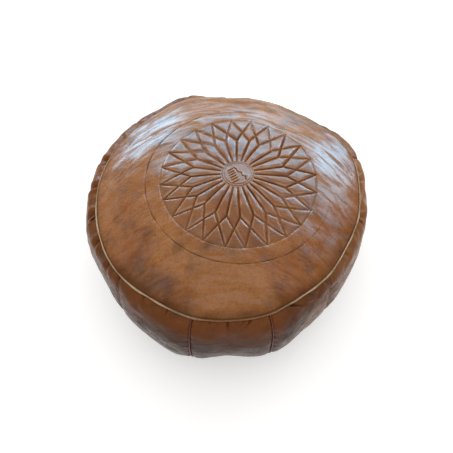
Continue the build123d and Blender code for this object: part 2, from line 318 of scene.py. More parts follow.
def seam_turn(number):
    """Position of a seam, where seam 12 is seam 0 a turn later."""
    return SEAM_TURNS[number % PANELS] + PANELS * (number // PANELS)


def heading(angle):
    """Level directions at angles from the front towards +X."""
    return np.stack([np.sin(angle), -np.cos(angle)], -1)


def outward(turn):
    """Level directions that point out from the axis."""
    return heading(np.asarray(turn) * EVEN_TURN)


def turn_of(level):
    """Position round the pouf of points given from its axis."""
    return np.arctan2(level[..., 0], -level[..., 1]) / EVEN_TURN


def placed(radius, turn, height):
    """Points at a radius, a position round the pouf and a height."""
    radius, turn, height = np.broadcast_arrays(radius, turn, height)
    level = AXIS + outward(turn) * radius[..., None]
    return np.concatenate([level, height[..., None]], -1)


def bell(distance, width):
    """One at no distance, falling smoothly away on both sides."""
    return np.exp(-((distance / width) ** 2))


def fading(distance, reach):
    """One at no distance, fading away with it."""
    return np.exp(-distance / reach)


def ramp(distance, reach):
    """Zero at no distance, rising evenly to one at the reach."""
    return np.clip(distance / reach, 0, 1)


def round_edge(distance, reach):
    """One at no distance, falling like a quarter circle to zero at the reach."""
    near = np.clip(1 - distance / reach, 0, 1)
    return 1 - np.sqrt(np.maximum(1 - near**2, 0))


def lumps(points, size, seed):
    """Gentle unevenness, mostly between -1 and 1, with lumps of about one size."""
    chance = np.random.default_rng(seed)
    total = np.zeros(points.shape[:-1])
    for _ in range(14):
        way = chance.normal(size=points.shape[-1])
        way /= np.linalg.norm(way)
        length = size * chance.uniform(1.4, 2.8)
        total += np.cos(points @ way * tau / length + chance.uniform(0, tau))
    return total / 4


def smooth_line(knots, values, at):
    """Smooth curve through values at knots, with a row of results for each place asked."""
    values = np.asarray(values, float)
    slopes = np.gradient(values, knots, axis=0)
    index = np.clip(np.searchsorted(knots, at, side="right") - 1, 0, len(knots) - 2)
    gap = knots[index + 1] - knots[index]
    part = (at - knots[index]) / gap
    shape = (-1,) + (1,) * (values.ndim - 1)
    part, gap = part.reshape(shape), gap.reshape(shape)
    first, second = values[index], values[index + 1]
    start = (2 * part**3 - 3 * part**2 + 1) * first + (part**3 - 2 * part**2 + part) * gap * slopes[index]
    end = (3 * part**2 - 2 * part**3) * second + (part**3 - part**2) * gap * slopes[index + 1]
    return start + end


def finer(values, rows, columns):
    """Smooth values of a grid brought to more rows and columns."""
    tall = smooth_line(np.linspace(0, 1, len(values)), values, np.linspace(0, 1, rows))
    wide = smooth_line(np.linspace(0, 1, values.shape[1]), tall.swapaxes(0, 1), np.linspace(0, 1, columns))
    return wide.swapaxes(0, 1)


def grid_normals(grid):
    """Normals of a grid of points."""
    across = np.gradient(grid, axis=1)
    down = np.gradient(grid, axis=0)
    normals = np.cross(across, down)
    return normals / np.maximum(np.linalg.norm(normals, axis=-1, keepdims=True), 1e-12)


# Meshes


def linked(name, data):
    """Object in the scene for a mesh, a lamp or a camera."""
    made = bpy.data.objects.new(name, data)
    bpy.context.scene.collection.objects.link(made)
    return made


def smoothed(mesh, sharpest):
    """Smooth shading, but not over edges sharper than an angle."""
    mesh.polygons.foreach_set("use_smooth", [True] * len(mesh.polygons))
    mesh.set_sharp_from_angle(angle=radians(sharpest))


def plain_mesh(name, points, edges, faces):
    """Mesh of points with edges or faces between them."""
    mesh = bpy.data.meshes.new(name)
    mesh.from_pydata(points.reshape(-1, 3).tolist(), edges, faces)
    return mesh


def leather_object(name, vertices, faces, material, layers=None):
    """Object with a plain mesh, faces outwards, smooth over gentle bends."""
    mesh = plain_mesh(name, vertices, [], faces)
    for label, values in (layers or {}).items():
        layer = mesh.attributes.new(label, "FLOAT", "POINT")
        layer.data.foreach_set("value", np.asarray(values, np.float32).ravel())
    sheet = bmesh.new()
    sheet.from_mesh(mesh)
    bmesh.ops.recalc_face_normals(sheet, faces=sheet.faces)
    sheet.to_mesh(mesh)
    sheet.free()
    smoothed(mesh, 50)
    mesh.materials.append(material)
    return linked(name, mesh)


def shell(name, outside, thickness, material, layers=None):
    """Closed sheet of one thickness behind a grid of outside points."""
    rows, columns = outside.shape[:2]
    inside = outside - grid_normals(outside) * thickness
    vertices = np.concatenate([outside.reshape(-1, 3), inside.reshape(-1, 3)])
    index = np.arange(rows * columns).reshape(rows, columns)
    back = index + rows * columns
    faces = []
    for row in range(rows - 1):
        for column in range(columns - 1):
            corners = ((row, column), (row, column + 1), (row + 1, column + 1), (row + 1, column))
            faces.append([int(index[corner]) for corner in corners])
            faces.append([int(back[corner]) for corner in reversed(corners)])
    border = [(0, column) for column in range(columns)]
    border += [(row, columns - 1) for row in range(1, rows)]
    border += [(rows - 1, column) for column in range(columns - 2, -1, -1)]
    border += [(row, 0) for row in range(rows - 2, 0, -1)]
    for place, following in zip(border, border[1:] + border[:1]):
        faces.append([int(v) for v in (index[place], back[place], back[following], index[following])])
    doubled = {label: np.concatenate([np.ravel(values)] * 2) for label, values in (layers or {}).items()}
    return leather_object(name, vertices, faces, material, doubled)


def turned(name, rings, material, layers=None):
    """Closed form made of rings of points, the first and last a single point. Rings may differ in count."""
    starts = np.cumsum([0] + [len(ring) for ring in rings])
    faces = []
    for number in range(len(rings) - 1):
        first, second = starts[number], starts[number + 1]
        here, there = len(rings[number]), len(rings[number + 1])
        if here > there:
            first, second, here, there = second, first, there, here
        ratio = there // here
        for step in range(here):
            many = [int(second + (step * ratio + k) % there) for k in range(ratio + 1)]
            if here == 1:
                faces += [[many[k], many[k + 1], int(first)] for k in range(ratio)]
            else:
                faces.append([*many, int(first + (step + 1) % here), int(first + step)])
    return leather_object(name, np.concatenate(rings), faces, material, layers)


def path_object(name, points, closed):
    """Object with a line of edges for a tree to follow."""
    count = len(points)
    edges = [(k, (k + 1) % count) for k in range(count if closed else count - 1)]
    return linked(name, plain_mesh(name, points, edges, []))


def built(name, form):
    """Object from a form that was put together in memory."""
    mesh = bpy.data.meshes.new(name)
    form.to_mesh(mesh)
    form.free()
    return linked(name, mesh)


def declare(made, slot, *nodes, body="cover", fill=None):
    """Puts a finished piece under its body and hides the model's parts that it stands for."""
    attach(made, body)
    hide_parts(*nodes)


# Finishes


class Wiring:
    """The nodes of one tree, with short ways to add and join them."""

    def __init__(self, tree):
        self.nodes = tree.nodes
        self.links = tree.links

    def join(self, source, socket):
        """Joins a node's output to a socket, or sets the socket to a plain value."""
        if isinstance(source, bpy.types.NodeSocket):
            self.links.new(source, socket)
        elif isinstance(source, tuple) and len(source) == 3 and len(socket.default_value) == 4:
            socket.default_value = (*source, 1.0)
        else:
            socket.default_value = source

    def add(self, kind, inputs=None, **settings):
        """A new node, with its settings and with its inputs given by name or number."""
        node = self.nodes.new(kind)
        for label, value in settings.items():
            setattr(node, label, value)
        for label, source in (inputs or {}).items():
            self.join(source, node.inputs[label])
        return node

    def output(self, kind, inputs, **settings):
        """First output of a new node."""
        return self.add(kind, inputs, **settings).outputs[0]

    def sum(self, first, second, operation="ADD"):
        """Two values added, or brought together by another operation."""
        return self.output("ShaderNodeMath", {0: first, 1: second}, operation=operation)

    def product(self, first, second):
        """Two values multiplied."""
        return self.sum(first, second, "MULTIPLY")

    def ranged(self, value, low, high, to_low=0.0, to_high=1.0, kind="SMOOTHSTEP"):
        """A value brought from one range to another."""
        given = {"Value": value, "From Min": low, "From Max": high, "To Min": to_low, "To Max": to_high}
        return self.output("ShaderNodeMapRange", given, interpolation_type=kind)


class Finish(Wiring):
    """One material and the nodes that make it."""

    def __init__(self, name):
        self.material = bpy.data.materials.new(name)
        self.material.use_nodes = True
        super().__init__(self.material.node_tree)
        self.shader = self.nodes["Principled BSDF"]
        self.place = self.add("ShaderNodeTexCoord").outputs["Object"]

    def apart(self):
        """The object's X, Y and Z."""
        return self.add("ShaderNodeSeparateXYZ", {0: self.place}).outputs

    def stretched(self, scale, turn=0.0):
        """The object's coordinates, scaled by axis and turned about Z."""
        given = {"Vector": self.place, "Rotation": (0.0, 0.0, turn), "Scale": scale}
        return self.output("ShaderNodeMapping", given)

    def swept(self, along, across, bow):
        """The object's coordinates, stretched along lines that bow across the top like brush strokes."""
        x, y, z = self.apart()
        bowed = self.sum(y, self.product(self.product(x, x), bow))
        scaled = (self.product(x, along), self.product(bowed, across), self.product(z, across))
        return self.output("ShaderNodeCombineXYZ", dict(enumerate(scaled)))

    def noise(self, scale, detail=3.0, roughness=0.5, place=None, distortion=0.0):
        """Cloudy noise."""
        given = {"Vector": place or self.place, "Scale": scale, "Detail": detail}
        given |= {"Roughness": roughness, "Distortion": distortion}
        return self.add("ShaderNodeTexNoise", given).outputs["Fac"]

    def cells(self, scale, feature="F1", place=None):
        """Distance from the middle or the edge of irregular cells."""
        given = {"Vector": place or self.place, "Scale": scale}
        return self.add("ShaderNodeTexVoronoi", given, feature=feature).outputs["Distance"]

    def wave(self, direction, scale, **more):
        """Even bands."""
        given = {"Vector": self.place, "Scale": scale, **more}
        return self.add("ShaderNodeTexWave", given, bands_direction=direction).outputs["Fac"]

    def layer(self, name):
        """A value kept on the mesh."""
        return self.add("ShaderNodeAttribute", attribute_name=name).outputs["Fac"]

    def mixed(self, share, first, second):
        """Two colours mixed by a share."""
        node = self.add("ShaderNodeMix", {0: share}, data_type="RGBA")
        sockets = [socket for socket in node.inputs if socket.type == "RGBA"]
        self.join(first, sockets[0])
        self.join(second, sockets[1])
        return next(socket for socket in node.outputs if socket.type == "RGBA")

    def tinted(self, base, tone, value, low, high, amount=1.0):
        """A tone laid over the base as a value goes from low to high."""
        return self.mixed(self.ranged(value, low, high, 0.0, amount), base, tone)

    def spot(self, centre, size):
        """One inside a round patch, fading to zero at its edge."""
        away = self.add("ShaderNodeVectorMath", {0: self.place, 1: centre}, operation="DISTANCE")
        return self.ranged(away.outputs["Value"], size, size * 0.25)

    def bumps(self, *layers):
        """Normal with bumps laid over each other, each a height and its depth in metres."""
        normal = None
        for height, depth in layers:
            given = {"Height": height, "Distance": depth}
            if normal:
                given["Normal"] = normal
            normal = self.output("ShaderNodeBump", given)
        return normal

    def done(self, base, roughness, normal, **others):
        """Sets the shader and gives the material back."""
        given = {"Base Color": base, "Roughness": roughness, "Normal": normal}
        given |= {label.replace("_", " "): source for label, source in others.items()}
        for label, source in given.items():
            self.join(source, self.shader.inputs[label])
        return self.material


def toned(tone, share):
    """A colour made darker or lighter."""
    return tuple(share * part for part in tone)


def glazed_leather(name, middle, light, dark, pale_lip, patches=(), bow=1.8, brushed=1.0, lit_upper_tone=None):
    """Hand-rubbed glossy leather: mottled, streaked, darker in creases as painted shade, with fine grain."""
    f = Finish(name)
    cloudy = f.noise(7.0, 4.0, 0.55, distortion=0.6)
    blotched = f.noise(16.0, 5.0, 0.65, distortion=1.2)
    mottled = f.noise(34.0, 5.0, 0.6)
    streaked = f.noise(42.0, 5.0, 0.62, f.swept(0.16, 1.0, bow), 0.5)
    glossed = f.noise(70.0, 5.0, 0.65, f.swept(0.22, 1.0, 1.3 * bow), 0.8)
    fine = f.noise(210.0, 4.0, 0.65)
    pores = f.cells(620.0)
    wrinkles = f.cells(95.0, "DISTANCE_TO_EDGE", f.stretched((1.0, 1.35, 1.0), 0.5))
    crease_shade, lip_wear_and_highlight, petal = f.layer("crease_shade"), f.layer("lip_wear_and_highlight"), f.layer("petal")

    base = f.tinted(middle, light, cloudy, 0.36, 0.64)
    # Painted light: lighter towards the top of the sides, blending into the given tone
    if lit_upper_tone:
        upper = f.sum(f.apart()["Z"], f.product(cloudy, 0.06))
        base = f.tinted(base, lit_upper_tone, upper, 0.18, 0.265, 0.6)
    base = f.tinted(base, dark, blotched, 0.50, 0.70, 0.28)
    base = f.tinted(base, dark, mottled, 0.46, 0.70, 0.50)
    base = f.tinted(base, light, streaked, 0.50, 0.72, 0.40)
    base = f.tinted(base, dark, streaked, 0.46, 0.28, 0.20)
    for centre, size, tone, amount in patches:
        edge = f.product(f.spot(centre, size), f.ranged(mottled, 0.30, 0.62, 0.45, 1.0))
        base = f.mixed(f.product(edge, amount), base, tone)
    base = f.tinted(base, dark, fine, 0.40, 0.75, 0.35)
    base = f.tinted(base, dark, pores, 0.32, 0.06, 0.22)
    # Painted shade: darker in the tooled lines, creases and seams
    base = f.tinted(base, toned(dark, 0.45), crease_shade, 0.10, 0.95, 0.80)
    base = f.mixed(f.product(petal, 0.40), base, tuple(0.5 * (m + d) for m, d in zip(middle, dark)))
    # Pale lip on one side of each line: partly wear and partly painted highlight
    base = f.mixed(f.product(lip_wear_and_highlight, f.ranged(mottled, 0.3, 0.65, 0.5, 1.0)), base, pale_lip)

    roughness = f.ranged(glossed, 0.36, 0.62, 0.46, 0.27)
    roughness = f.sum(roughness, f.ranged(fine, 0.35, 0.75, -0.03, 0.10))
    roughness = f.sum(roughness, f.product(crease_shade, 0.35))

    stipple = f.product(f.ranged(f.cells(300.0), 0.45, 0.15, 0.0, -1.0), f.layer("stipple"))
    normal = f.bumps(
        (streaked, 0.0020 * brushed),
        (glossed, 0.0006 * brushed),
        (f.noise(90.0, 3.0, 0.6), 0.0005),
        (f.ranged(wrinkles, 0.0, 0.12), 0.00010),
        (stipple, 0.0006),
        (fine, 0.00022),
        (pores, 0.00008),
    )

    # Wax: thick and thin by streaks, thick on the petals, worn off in creases and on the pale lips
    lean, rich = 0.05 + 0.05 * brushed, 0.95 * brushed - 0.05
    waxed = f.sum(f.ranged(glossed, 0.36, 0.62, lean, rich), f.product(petal, 0.55), "MAXIMUM")
    if lit_upper_tone:
        waxed = f.sum(waxed, f.ranged(upper, 0.17, 0.07, 0.0, 0.15))
    waxed = f.product(waxed, f.ranged(f.sum(crease_shade, lip_wear_and_highlight, "MAXIMUM"), 0.05, 0.6, 1.0, 0.1))
    gloss = {"Coat_Weight": waxed, "Coat_Roughness": 0.16, "Coat_IOR": 1.5, "Specular_IOR_Level": 0.10}
    return f.done(base, roughness, normal, **gloss)


def raw_edge_leather(name, pale, brown, burnished):
    """Cut leather edge: pale and fibrous, burnished brown in places."""
    f = Finish(name)
    patchy = f.noise(14.0, 4.0, 0.6)
    fibres = f.noise(260.0, 5.0, 0.7, f.stretched((1.0, 1.0, 2.6)))
    base = f.tinted(pale, brown, patchy, 0.48, 0.72, 0.55)
    for centre, size in burnished:
        base = f.mixed(f.product(f.spot(centre, size), 0.9), base, brown)
    base = f.tinted(base, toned(brown, 0.5), fibres, 0.42, 0.70, 0.5)
    normal = f.bumps((f.noise(120.0, 3.0, 0.6), 0.0006), (fibres, 0.0004))
    return f.done(base, f.ranged(fibres, 0.3, 0.7, 0.55, 0.80), normal, Specular_IOR_Level=0.35)


def dyed_leather(name, tone):
    """Thin dyed strip with a waxy sheen."""
    f = Finish(name)
    cloudy = f.noise(40.0, 4.0, 0.6)
    base = f.tinted(tone, toned(tone, 0.4), cloudy, 0.38, 0.66)
    normal = f.bumps((f.noise(420.0, 4.0, 0.65), 0.00025))
    return f.done(base, f.ranged(cloudy, 0.3, 0.7, 0.34, 0.52), normal, Coat_Weight=0.3, Coat_Roughness=0.3)


def plain_leather(name, tone):
    """Unglazed leather of the base: matt, scuffed and dusty where it stands."""
    f = Finish(name)
    cloudy = f.noise(12.0, 5.0, 0.6)
    scuffs = f.noise(60.0, 6.0, 0.7, f.stretched((1.0, 2.5, 1.0), 0.7))
    dusty = tuple(min(1.0, 2.0 * part + 0.05) for part in tone)
    base = f.tinted(tone, toned(tone, 0.62), cloudy, 0.38, 0.66)
    base = f.tinted(base, dusty, scuffs, 0.56, 0.80, 0.6)
    # Painted shade by the base seam and the edge of the opening
    base = f.mixed(f.product(f.layer("crease_shade"), 0.7), base, toned(tone, 0.3))
    normal = f.bumps((f.noise(70.0, 4.0, 0.6), 0.0008), (f.cells(480.0), 0.00018))
    return f.done(base, f.ranged(scuffs, 0.3, 0.8, 0.48, 0.75), normal, Specular_IOR_Level=0.4)


def worn_brass(name, tone):
    """Zip brass, dulled in patches and rubbed bright elsewhere."""
    f = Finish(name)
    tarnish = f.noise(180.0, 5.0, 0.65)
    scratches = f.noise(500.0, 3.0, 0.6, f.stretched((1.0, 9.0, 1.0), 0.3))
    base = f.tinted(tone, toned(tone, 0.35), tarnish, 0.42, 0.68)
    return f.done(base, f.ranged(tarnish, 0.35, 0.7, 0.26, 0.5), f.bumps((scratches, 0.00008)), Metallic=1.0)


def woven_cloth(name, tone, threads):
    """Plain weave: threads over and under each other, with a soft fuzz."""
    f = Finish(name)
    ribs = [f.wave(axis, threads, Distortion=0.6, Detail=1.0) for axis in ("X", "Y")]
    weave = f.sum(*ribs, "MAXIMUM")
    slub = f.noise(90.0, 4.0, 0.6)
    base = f.tinted(toned(tone, 0.5), tone, weave, 0.2, 0.9)
    base = f.tinted(base, toned(tone, 0.7), slub, 0.42, 0.7, 0.4)
    normal = f.bumps((weave, 0.0003), (slub, 0.0006))
    return f.done(base, f.ranged(slub, 0.3, 0.7, 0.78, 0.95), normal, Sheen_Weight=0.3)


def twisted_thread(name, tone):
    """Waxed thread."""
    f = Finish(name)
    twist = f.wave("DIAGONAL", 420.0)
    worn = f.noise(70.0, 3.0)
    base = f.mixed(twist, toned(tone, 0.55), tone)
    base = f.tinted(base, toned(tone, 0.5), worn, 0.45, 0.7, 0.5)
    return f.done(base, f.ranged(worn, 0.3, 0.7, 0.5, 0.7), f.bumps((twist, 0.0002)))


def fluffy_wadding(name, tone):
    """Loose cotton wadding."""
    f = Finish(name)
    fluff = f.noise(60.0, 6.0, 0.7, distortion=1.0)
    fibres = f.noise(300.0, 4.0, 0.7, distortion=2.0)
    base = f.tinted(tone, toned(tone, 0.8), fluff, 0.35, 0.7)
    normal = f.bumps((fluff, 0.004), (fibres, 0.0008))
    return f.done(base, f.ranged(fibres, 0.3, 0.7, 0.85, 1.0), normal, Sheen_Weight=0.4)


finishes = {}


def finish(name):
    """Material of the pouf by name, made once from the chosen colours."""
    if name in finishes:
        return finishes[name]
    c = bpy.context.scene.pouf_colours
    tan, light, dark, side = tuple(c.tan), tuple(c.light_tan), tuple(c.dark_tan), tuple(c.shaded_side_tan)

    # Patches: middle, size, tone and strength
    top_patches = (
        ((-0.158, -0.178, 0.228), 0.054, dark, 0.65),
        ((-0.114, -0.208, 0.228), 0.052, dark, 0.65),
        ((-0.071, -0.230, 0.226), 0.044, dark, 0.55),
        ((0.090, -0.215, 0.228), 0.050, dark, 0.35),
        ((0.205, -0.115, 0.205), 0.060, dark, 0.60),
        ((0.150, 0.190, 0.205), 0.080, dark, 0.50),
        ((0.020, -0.238, 0.226), 0.075, dark, 0.30),
        ((-0.010, -0.152, 0.262), 0.075, dark, 0.28),
        ((0.010, -0.200, 0.240), 0.085, light, 0.75),
        ((0.190, 0.020, 0.240), 0.090, light, 0.45),
        ((-0.060, 0.210, 0.205), 0.070, light, 0.40),
    )
    # Patches of painted light on the sides, where light falls on them
    lit_side_patches = (
        ((0.170, -0.200, 0.130), 0.080, light, 0.45),
        ((-0.245, -0.080, 0.160), 0.070, light, 0.35),
        ((-0.235, 0.110, 0.200), 0.230, tan, 0.45),
        ((0.265, 0.050, 0.205), 0.160, light, 0.85),
        ((0.235, -0.110, 0.200), 0.110, light, 0.55),
    )
    burnished = (
        ((0.02, -0.27, 0.22), 0.15),
        ((-0.12, 0.25, 0.22), 0.30),
        ((0.15, 0.22, 0.22), 0.24),
        ((0.0, 0.0, 0.0), 0.24),
    )
    makers = {
        "top_leather": (glazed_leather, tan, light, dark, tuple(c.pale_lip_tan), top_patches),
        # Sides: darkened as painted shade, lighter towards the top seam and in patches as painted light
        "side_leather": (glazed_leather, side, toned(side, 2.2), dark, light, lit_side_patches, 0.0, 0.2, tan),
        "raw_edge": (raw_edge_leather, tuple(c.raw_edge), toned(light, 0.6), burnished),
        "maroon_welt": (dyed_leather, tuple(c.maroon)),
        "base_leather": (plain_leather, tuple(c.base_brown)),
        "brass": (worn_brass, tuple(c.brass)),
        "zip_tape": (woven_cloth, tuple(c.tape), 330.0),
        "thread": (twisted_thread, tuple(c.thread)),
        "cotton": (woven_cloth, tuple(c.cotton), 260.0),
        "wadding": (fluffy_wadding, tuple(c.wadding)),
    }
    maker, *choices = makers[name]
    finishes[name] = maker(name, *choices)
    return finishes[name]


# Trees of nodes that shape pieces

SOCKET_KINDS = {int: "NodeSocketInt", float: "NodeSocketFloat", tuple: "NodeSocketVector"}


def shape_tree(name, sizes):
    """New Geometry Nodes tree with named sizes and a material. Gives the tree, its wiring and its inputs."""
    tree = bpy.data.node_groups.new(name, "GeometryNodeTree")
    tree.interface.new_socket("Geometry", in_out="INPUT", socket_type="NodeSocketGeometry")
    for label, value in sizes.items():
        socket = tree.interface.new_socket(label, in_out="INPUT", socket_type=SOCKET_KINDS[type(value)])
        socket.default_value = value
    tree.interface.new_socket("Material", in_out="INPUT", socket_type="NodeSocketMaterial")
    tree.interface.new_socket("Geometry", in_out="OUTPUT", socket_type="NodeSocketGeometry")
    wiring = Wiring(tree)
    return tree, wiring, wiring.add("NodeGroupInput").outputs


def end_tree(wiring, geometry, given):
    """Last nodes of a tree: real copies with the chosen material."""
    real = wiring.output("GeometryNodeRealizeInstances", {0: geometry})
    coated = wiring.output("GeometryNodeSetMaterial", {"Geometry": real, "Material": given["Material"]})
    wiring.add("NodeGroupOutput", {0: coated})


def welt_tree():
    """Strip with rounded corners along the object's edges, a little uneven."""
    tree, wiring, given = shape_tree(
        "welt_along_path",
        {"Width": 0.006, "Thickness": 0.002, "Corner": 0.0006, "Waver": 0.0, "Waver scale": 40.0},
    )
    path = wiring.output("GeometryNodeMeshToCurve", {"Mesh": given["Geometry"]})
    noise = wiring.add("ShaderNodeTexNoise", {"Scale": given["Waver scale"]})
    centred = wiring.sum(noise.outputs["Fac"], 0.5, "SUBTRACT")
    amount = wiring.output(
        "ShaderNodeMath", {0: centred, 1: given["Waver"], 2: 1.0}, operation="MULTIPLY_ADD"
    )
    uneven = wiring.output("GeometryNodeSetCurveRadius", {"Curve": path, "Radius": amount})
    section = wiring.output(
        "GeometryNodeCurvePrimitiveQuadrilateral", {"Width": given["Width"], "Height": given["Thickness"]}
    )
    rounded = wiring.output(
        "GeometryNodeFilletCurve", {"Curve": section, "Count": 2, "Radius": given["Corner"]}, mode="POLY"
    )
    strip = wiring.output(
        "GeometryNodeCurveToMesh", {"Curve": uneven, "Profile Curve": rounded, "Fill Caps": True}
    )
    end_tree(wiring, strip, given)
    return tree


def row_tree():
    """Copies of the object's mesh in a straight row."""
    tree, wiring, given = shape_tree(
        "copies_in_a_row",
        {"Count": 10, "Start": (0.0, 0.0, 0.0), "Step": (0.001, 0.0, 0.0), "Turn jitter": 0.0},
    )
    line = wiring.output(
        "GeometryNodeMeshLine",
        {"Count": given["Count"], "Start Location": given["Start"], "Offset": given["Step"]},
    )
    chance = wiring.add("FunctionNodeRandomValue", {"Seed": 3}, data_type="FLOAT")
    least, most = [socket for socket in chance.inputs if socket.type == "VALUE"][:2]
    least.default_value, most.default_value = -1.0, 1.0
    drawn = next(socket for socket in chance.outputs if socket.type == "VALUE")
    turn = wiring.output("ShaderNodeCombineXYZ", {"Z": wiring.product(drawn, given["Turn jitter"])})
    copies = wiring.output(
        "GeometryNodeInstanceOnPoints", {"Points": line, "Instance": given["Geometry"], "Rotation": turn}
    )
    end_tree(wiring, copies, given)
    return tree


def grown(made, tree, inputs):
    """Runs a tree on an object and leaves the plain mesh."""
    modifier = made.modifiers.new("shape", "NODES")
    modifier.node_group = tree
    for socket in tree.interface.items_tree:
        if socket.in_out == "INPUT" and socket.name in inputs:
            modifier[socket.identifier] = inputs[socket.name]
    graph = bpy.context.evaluated_depsgraph_get()
    mesh = bpy.data.meshes.new_from_object(made.evaluated_get(graph), depsgraph=graph)
    made.modifiers.clear()
    made.data = mesh
    smoothed(mesh, 40)


# Top


def dome_share(radius, turn, sizes):
    """Share of the way out to the rim at a radius."""
    share = radius / sizes.rim_radius
    for _ in range(6):
        share = radius / sizes.rim_radius / (1 + (rim_share(turn) - 1) * share**2)
    return share


def dome_height(share, sizes):
    """Height of the outside of the top at a share of the way out."""
    foot = sizes.seam_height + sizes.welt / 2 + sizes.leather
    return foot + sizes.dome_rise * np.maximum(1 - np.asarray(share) ** 2, 0) ** sizes.dome_fullness


def tooled_lines(sizes):
    """Straight lines of the rosette, a little uneven: starts, ends and depth shares, from its centre."""
    chance = np.random.default_rng(11)
    count = sizes.rosette_points
    step = tau / count
    inner_angles = radians(1) + step * np.arange(count) + chance.normal(0, 0.016, count)
    outer_angles = radians(5) + step * np.arange(count) + chance.normal(0, 0.012, count)
    inner_radii = 0.6 * sizes.rosette_radius * (1 + chance.normal(0, 0.018, count))
    spoke_foot = 1.13 * sizes.medallion_radius
    starts, ends, depths = [], [], []
    for k in range(count):
        inner = inner_radii[k] * heading(inner_angles[k])
        starts.append(MEDALLION_SHIFT + spoke_foot * heading(inner_angles[k] + chance.normal(0, 0.01)))
        ends.append(inner)
        depths.append(chance.uniform(0.85, 1.15))
        for side in (-1, 1):
            starts.append(inner)
            ends.append(sizes.rosette_radius * heading(outer_angles[(k + side) % count]))
            depths.append(chance.uniform(0.65, 1.1))
    return np.array(starts), np.array(ends), np.array(depths)


def medallion_lines(sizes):
    """Worn little motif in the medallion: short parallel strokes under a scalloped curve."""
    starts, ends = [], []
    for k in range(6):
        x, y = -0.30 + 0.07 * k, 0.42 - 0.19 * k
        starts.append((x - 0.34, y - 0.20))
        ends.append((x, y))
    starts = MEDALLION_SHIFT + np.array([*starts, *SCALLOPS[:-1]]) * sizes.medallion_radius
    ends = MEDALLION_SHIFT + np.array([*ends, *SCALLOPS[1:]]) * sizes.medallion_radius
    return starts, ends, np.full(len(starts), 0.85)


def line_distance(level, start, end):
    """Distance from points to one straight line."""
    run = end - start
    along = np.clip((level - start) @ run / (run @ run), 0, 1)
    return np.linalg.norm(level - start - along[..., None] * run, axis=-1)


def tooling(level, sizes):
    """How the tooling moves the surface, and how much of each point is groove, lip, stipple and petal."""
    width, depth = sizes.groove_width, sizes.groove_depth
    rosette, medallion = sizes.rosette_radius, sizes.medallion_radius
    out = np.linalg.norm(level, axis=-1)
    from_medallion = np.linalg.norm(level - MEDALLION_SHIFT, axis=-1)
    nearest = np.full(level.shape[:-1], 1.0)
    groove, circles, lip = np.zeros((3, *level.shape[:-1]))

    # Straight lines, the medallion's narrower, each with a pale lip on one side of it, partly worn and partly
    # painted highlight
    worn = 0.55 + 0.45 * lumps(level, 0.016, 12)
    for (starts, ends, shares), narrow in ((tooled_lines(sizes), 1.0), (medallion_lines(sizes), 0.6)):
        for start, end, share in zip(starts, ends, shares):
            away = line_distance(level, start, end)
            groove = np.maximum(groove, share * bell(away, narrow * width))
            if narrow == 1.0:
                nearest = np.minimum(nearest, away)
            way = (end - start) / np.linalg.norm(end - start)
            beside = (level - start) @ np.array((-way[1], way[0])) * (1 if way[0] > way[1] else -1)
            pale_lip = bell(beside - LIP_OFFSET * width, LIP_WIDTH * width) * (away < LIP_REACH * width)
            lip = np.maximum(lip, share * worn * pale_lip)

    # Circles, and the guide circle, which is faint on one side
    for reach, radius, share, narrow in (
        (out, rosette, 0.60, 0.85),
        (from_medallion, medallion, 0.7, 0.8),
        (from_medallion, 0.86 * medallion, 0.6, 0.7),
    ):
        away = np.abs(reach - radius)
        circles = np.maximum(circles, share * bell(away, width * narrow))
        nearest = np.minimum(nearest, away)
    angle = np.arctan2(level[..., 0], -level[..., 1])
    clear = 0.5 + 0.5 * np.tanh(np.cos(angle + radians(62)) * 3.2 + 1.6)
    guide = (0.15 + 0.75 * clear) * bell(np.abs(out - sizes.guide_radius), 0.95 * width)

    # Petals and medallion puff up between the lines, less towards the rim of the rosette
    inside = ramp(rosette - out, 0.002)
    started = ramp(from_medallion - 1.15 * medallion, 0.014)
    fullness = np.interp(out, [0, 0.744 * rosette, rosette], [1.0, 0.75, 0.35])
    puff = sizes.petal_puff * fullness * inside * started * (1 - bell(nearest, 0.0036))
    puff += 0.5 * sizes.petal_puff * bell(from_medallion, 0.6 * medallion)
    lip = np.clip(lip, 0, 1) * ramp(nearest - 0.8 * width, 0.6 * width) * inside
    relief = np.maximum(groove, np.maximum(0.4 * circles, 0.2 * guide))
    move = puff - depth * relief + 0.22 * depth * lip
    groove = np.maximum(groove, np.maximum(circles, guide))
    stipple = inside * ramp(out - 0.80 * rosette, 0.01) * ramp(nearest, 0.002)
    return move, groove * np.clip(0.78 + 0.25 * lumps(level, 0.02, 13), 0.4, 1), lip, stipple, inside


def top_rings(sizes):
    """Rings of level points from the middle of the rosette to the rim, finer where the tooling is."""
    rosette, guide = sizes.rosette_radius, sizes.guide_radius
    columns = 26 * sizes.rosette_points
    rings = [ROSETTE_CENTRE[None]]
    for count, radii in (
        (columns // 4, np.arange(0.0012, 0.034, 0.0009)),
        (columns // 2, np.arange(0.0345, 0.072, 0.0013)),
        (columns, np.arange(0.0728, rosette + 0.003, 0.0013)),
        (columns, np.linspace(rosette + 0.005, guide - 0.004, 9)),
        (columns, np.linspace(guide - 0.003, guide + 0.003, 6)),
    ):
        ways = heading(tau * np.arange(count) / count)
        rings += [ROSETTE_CENTRE + radius * ways for radius in radii]
    last = radii[-1]
    reach = np.full(columns, 0.24)
    for _ in range(30):
        level = ROSETTE_CENTRE + ways * reach[:, None]
        rim = sizes.rim_radius * rim_share(turn_of(level))
        reach += 0.8 * (rim - np.linalg.norm(level, axis=-1))
    for share in 1 - (1 - np.linspace(0, 1, 33)[1:]) ** 1.35:
        rings.append(ROSETTE_CENTRE + ways * (last + (reach - last) * share)[:, None])
    return rings


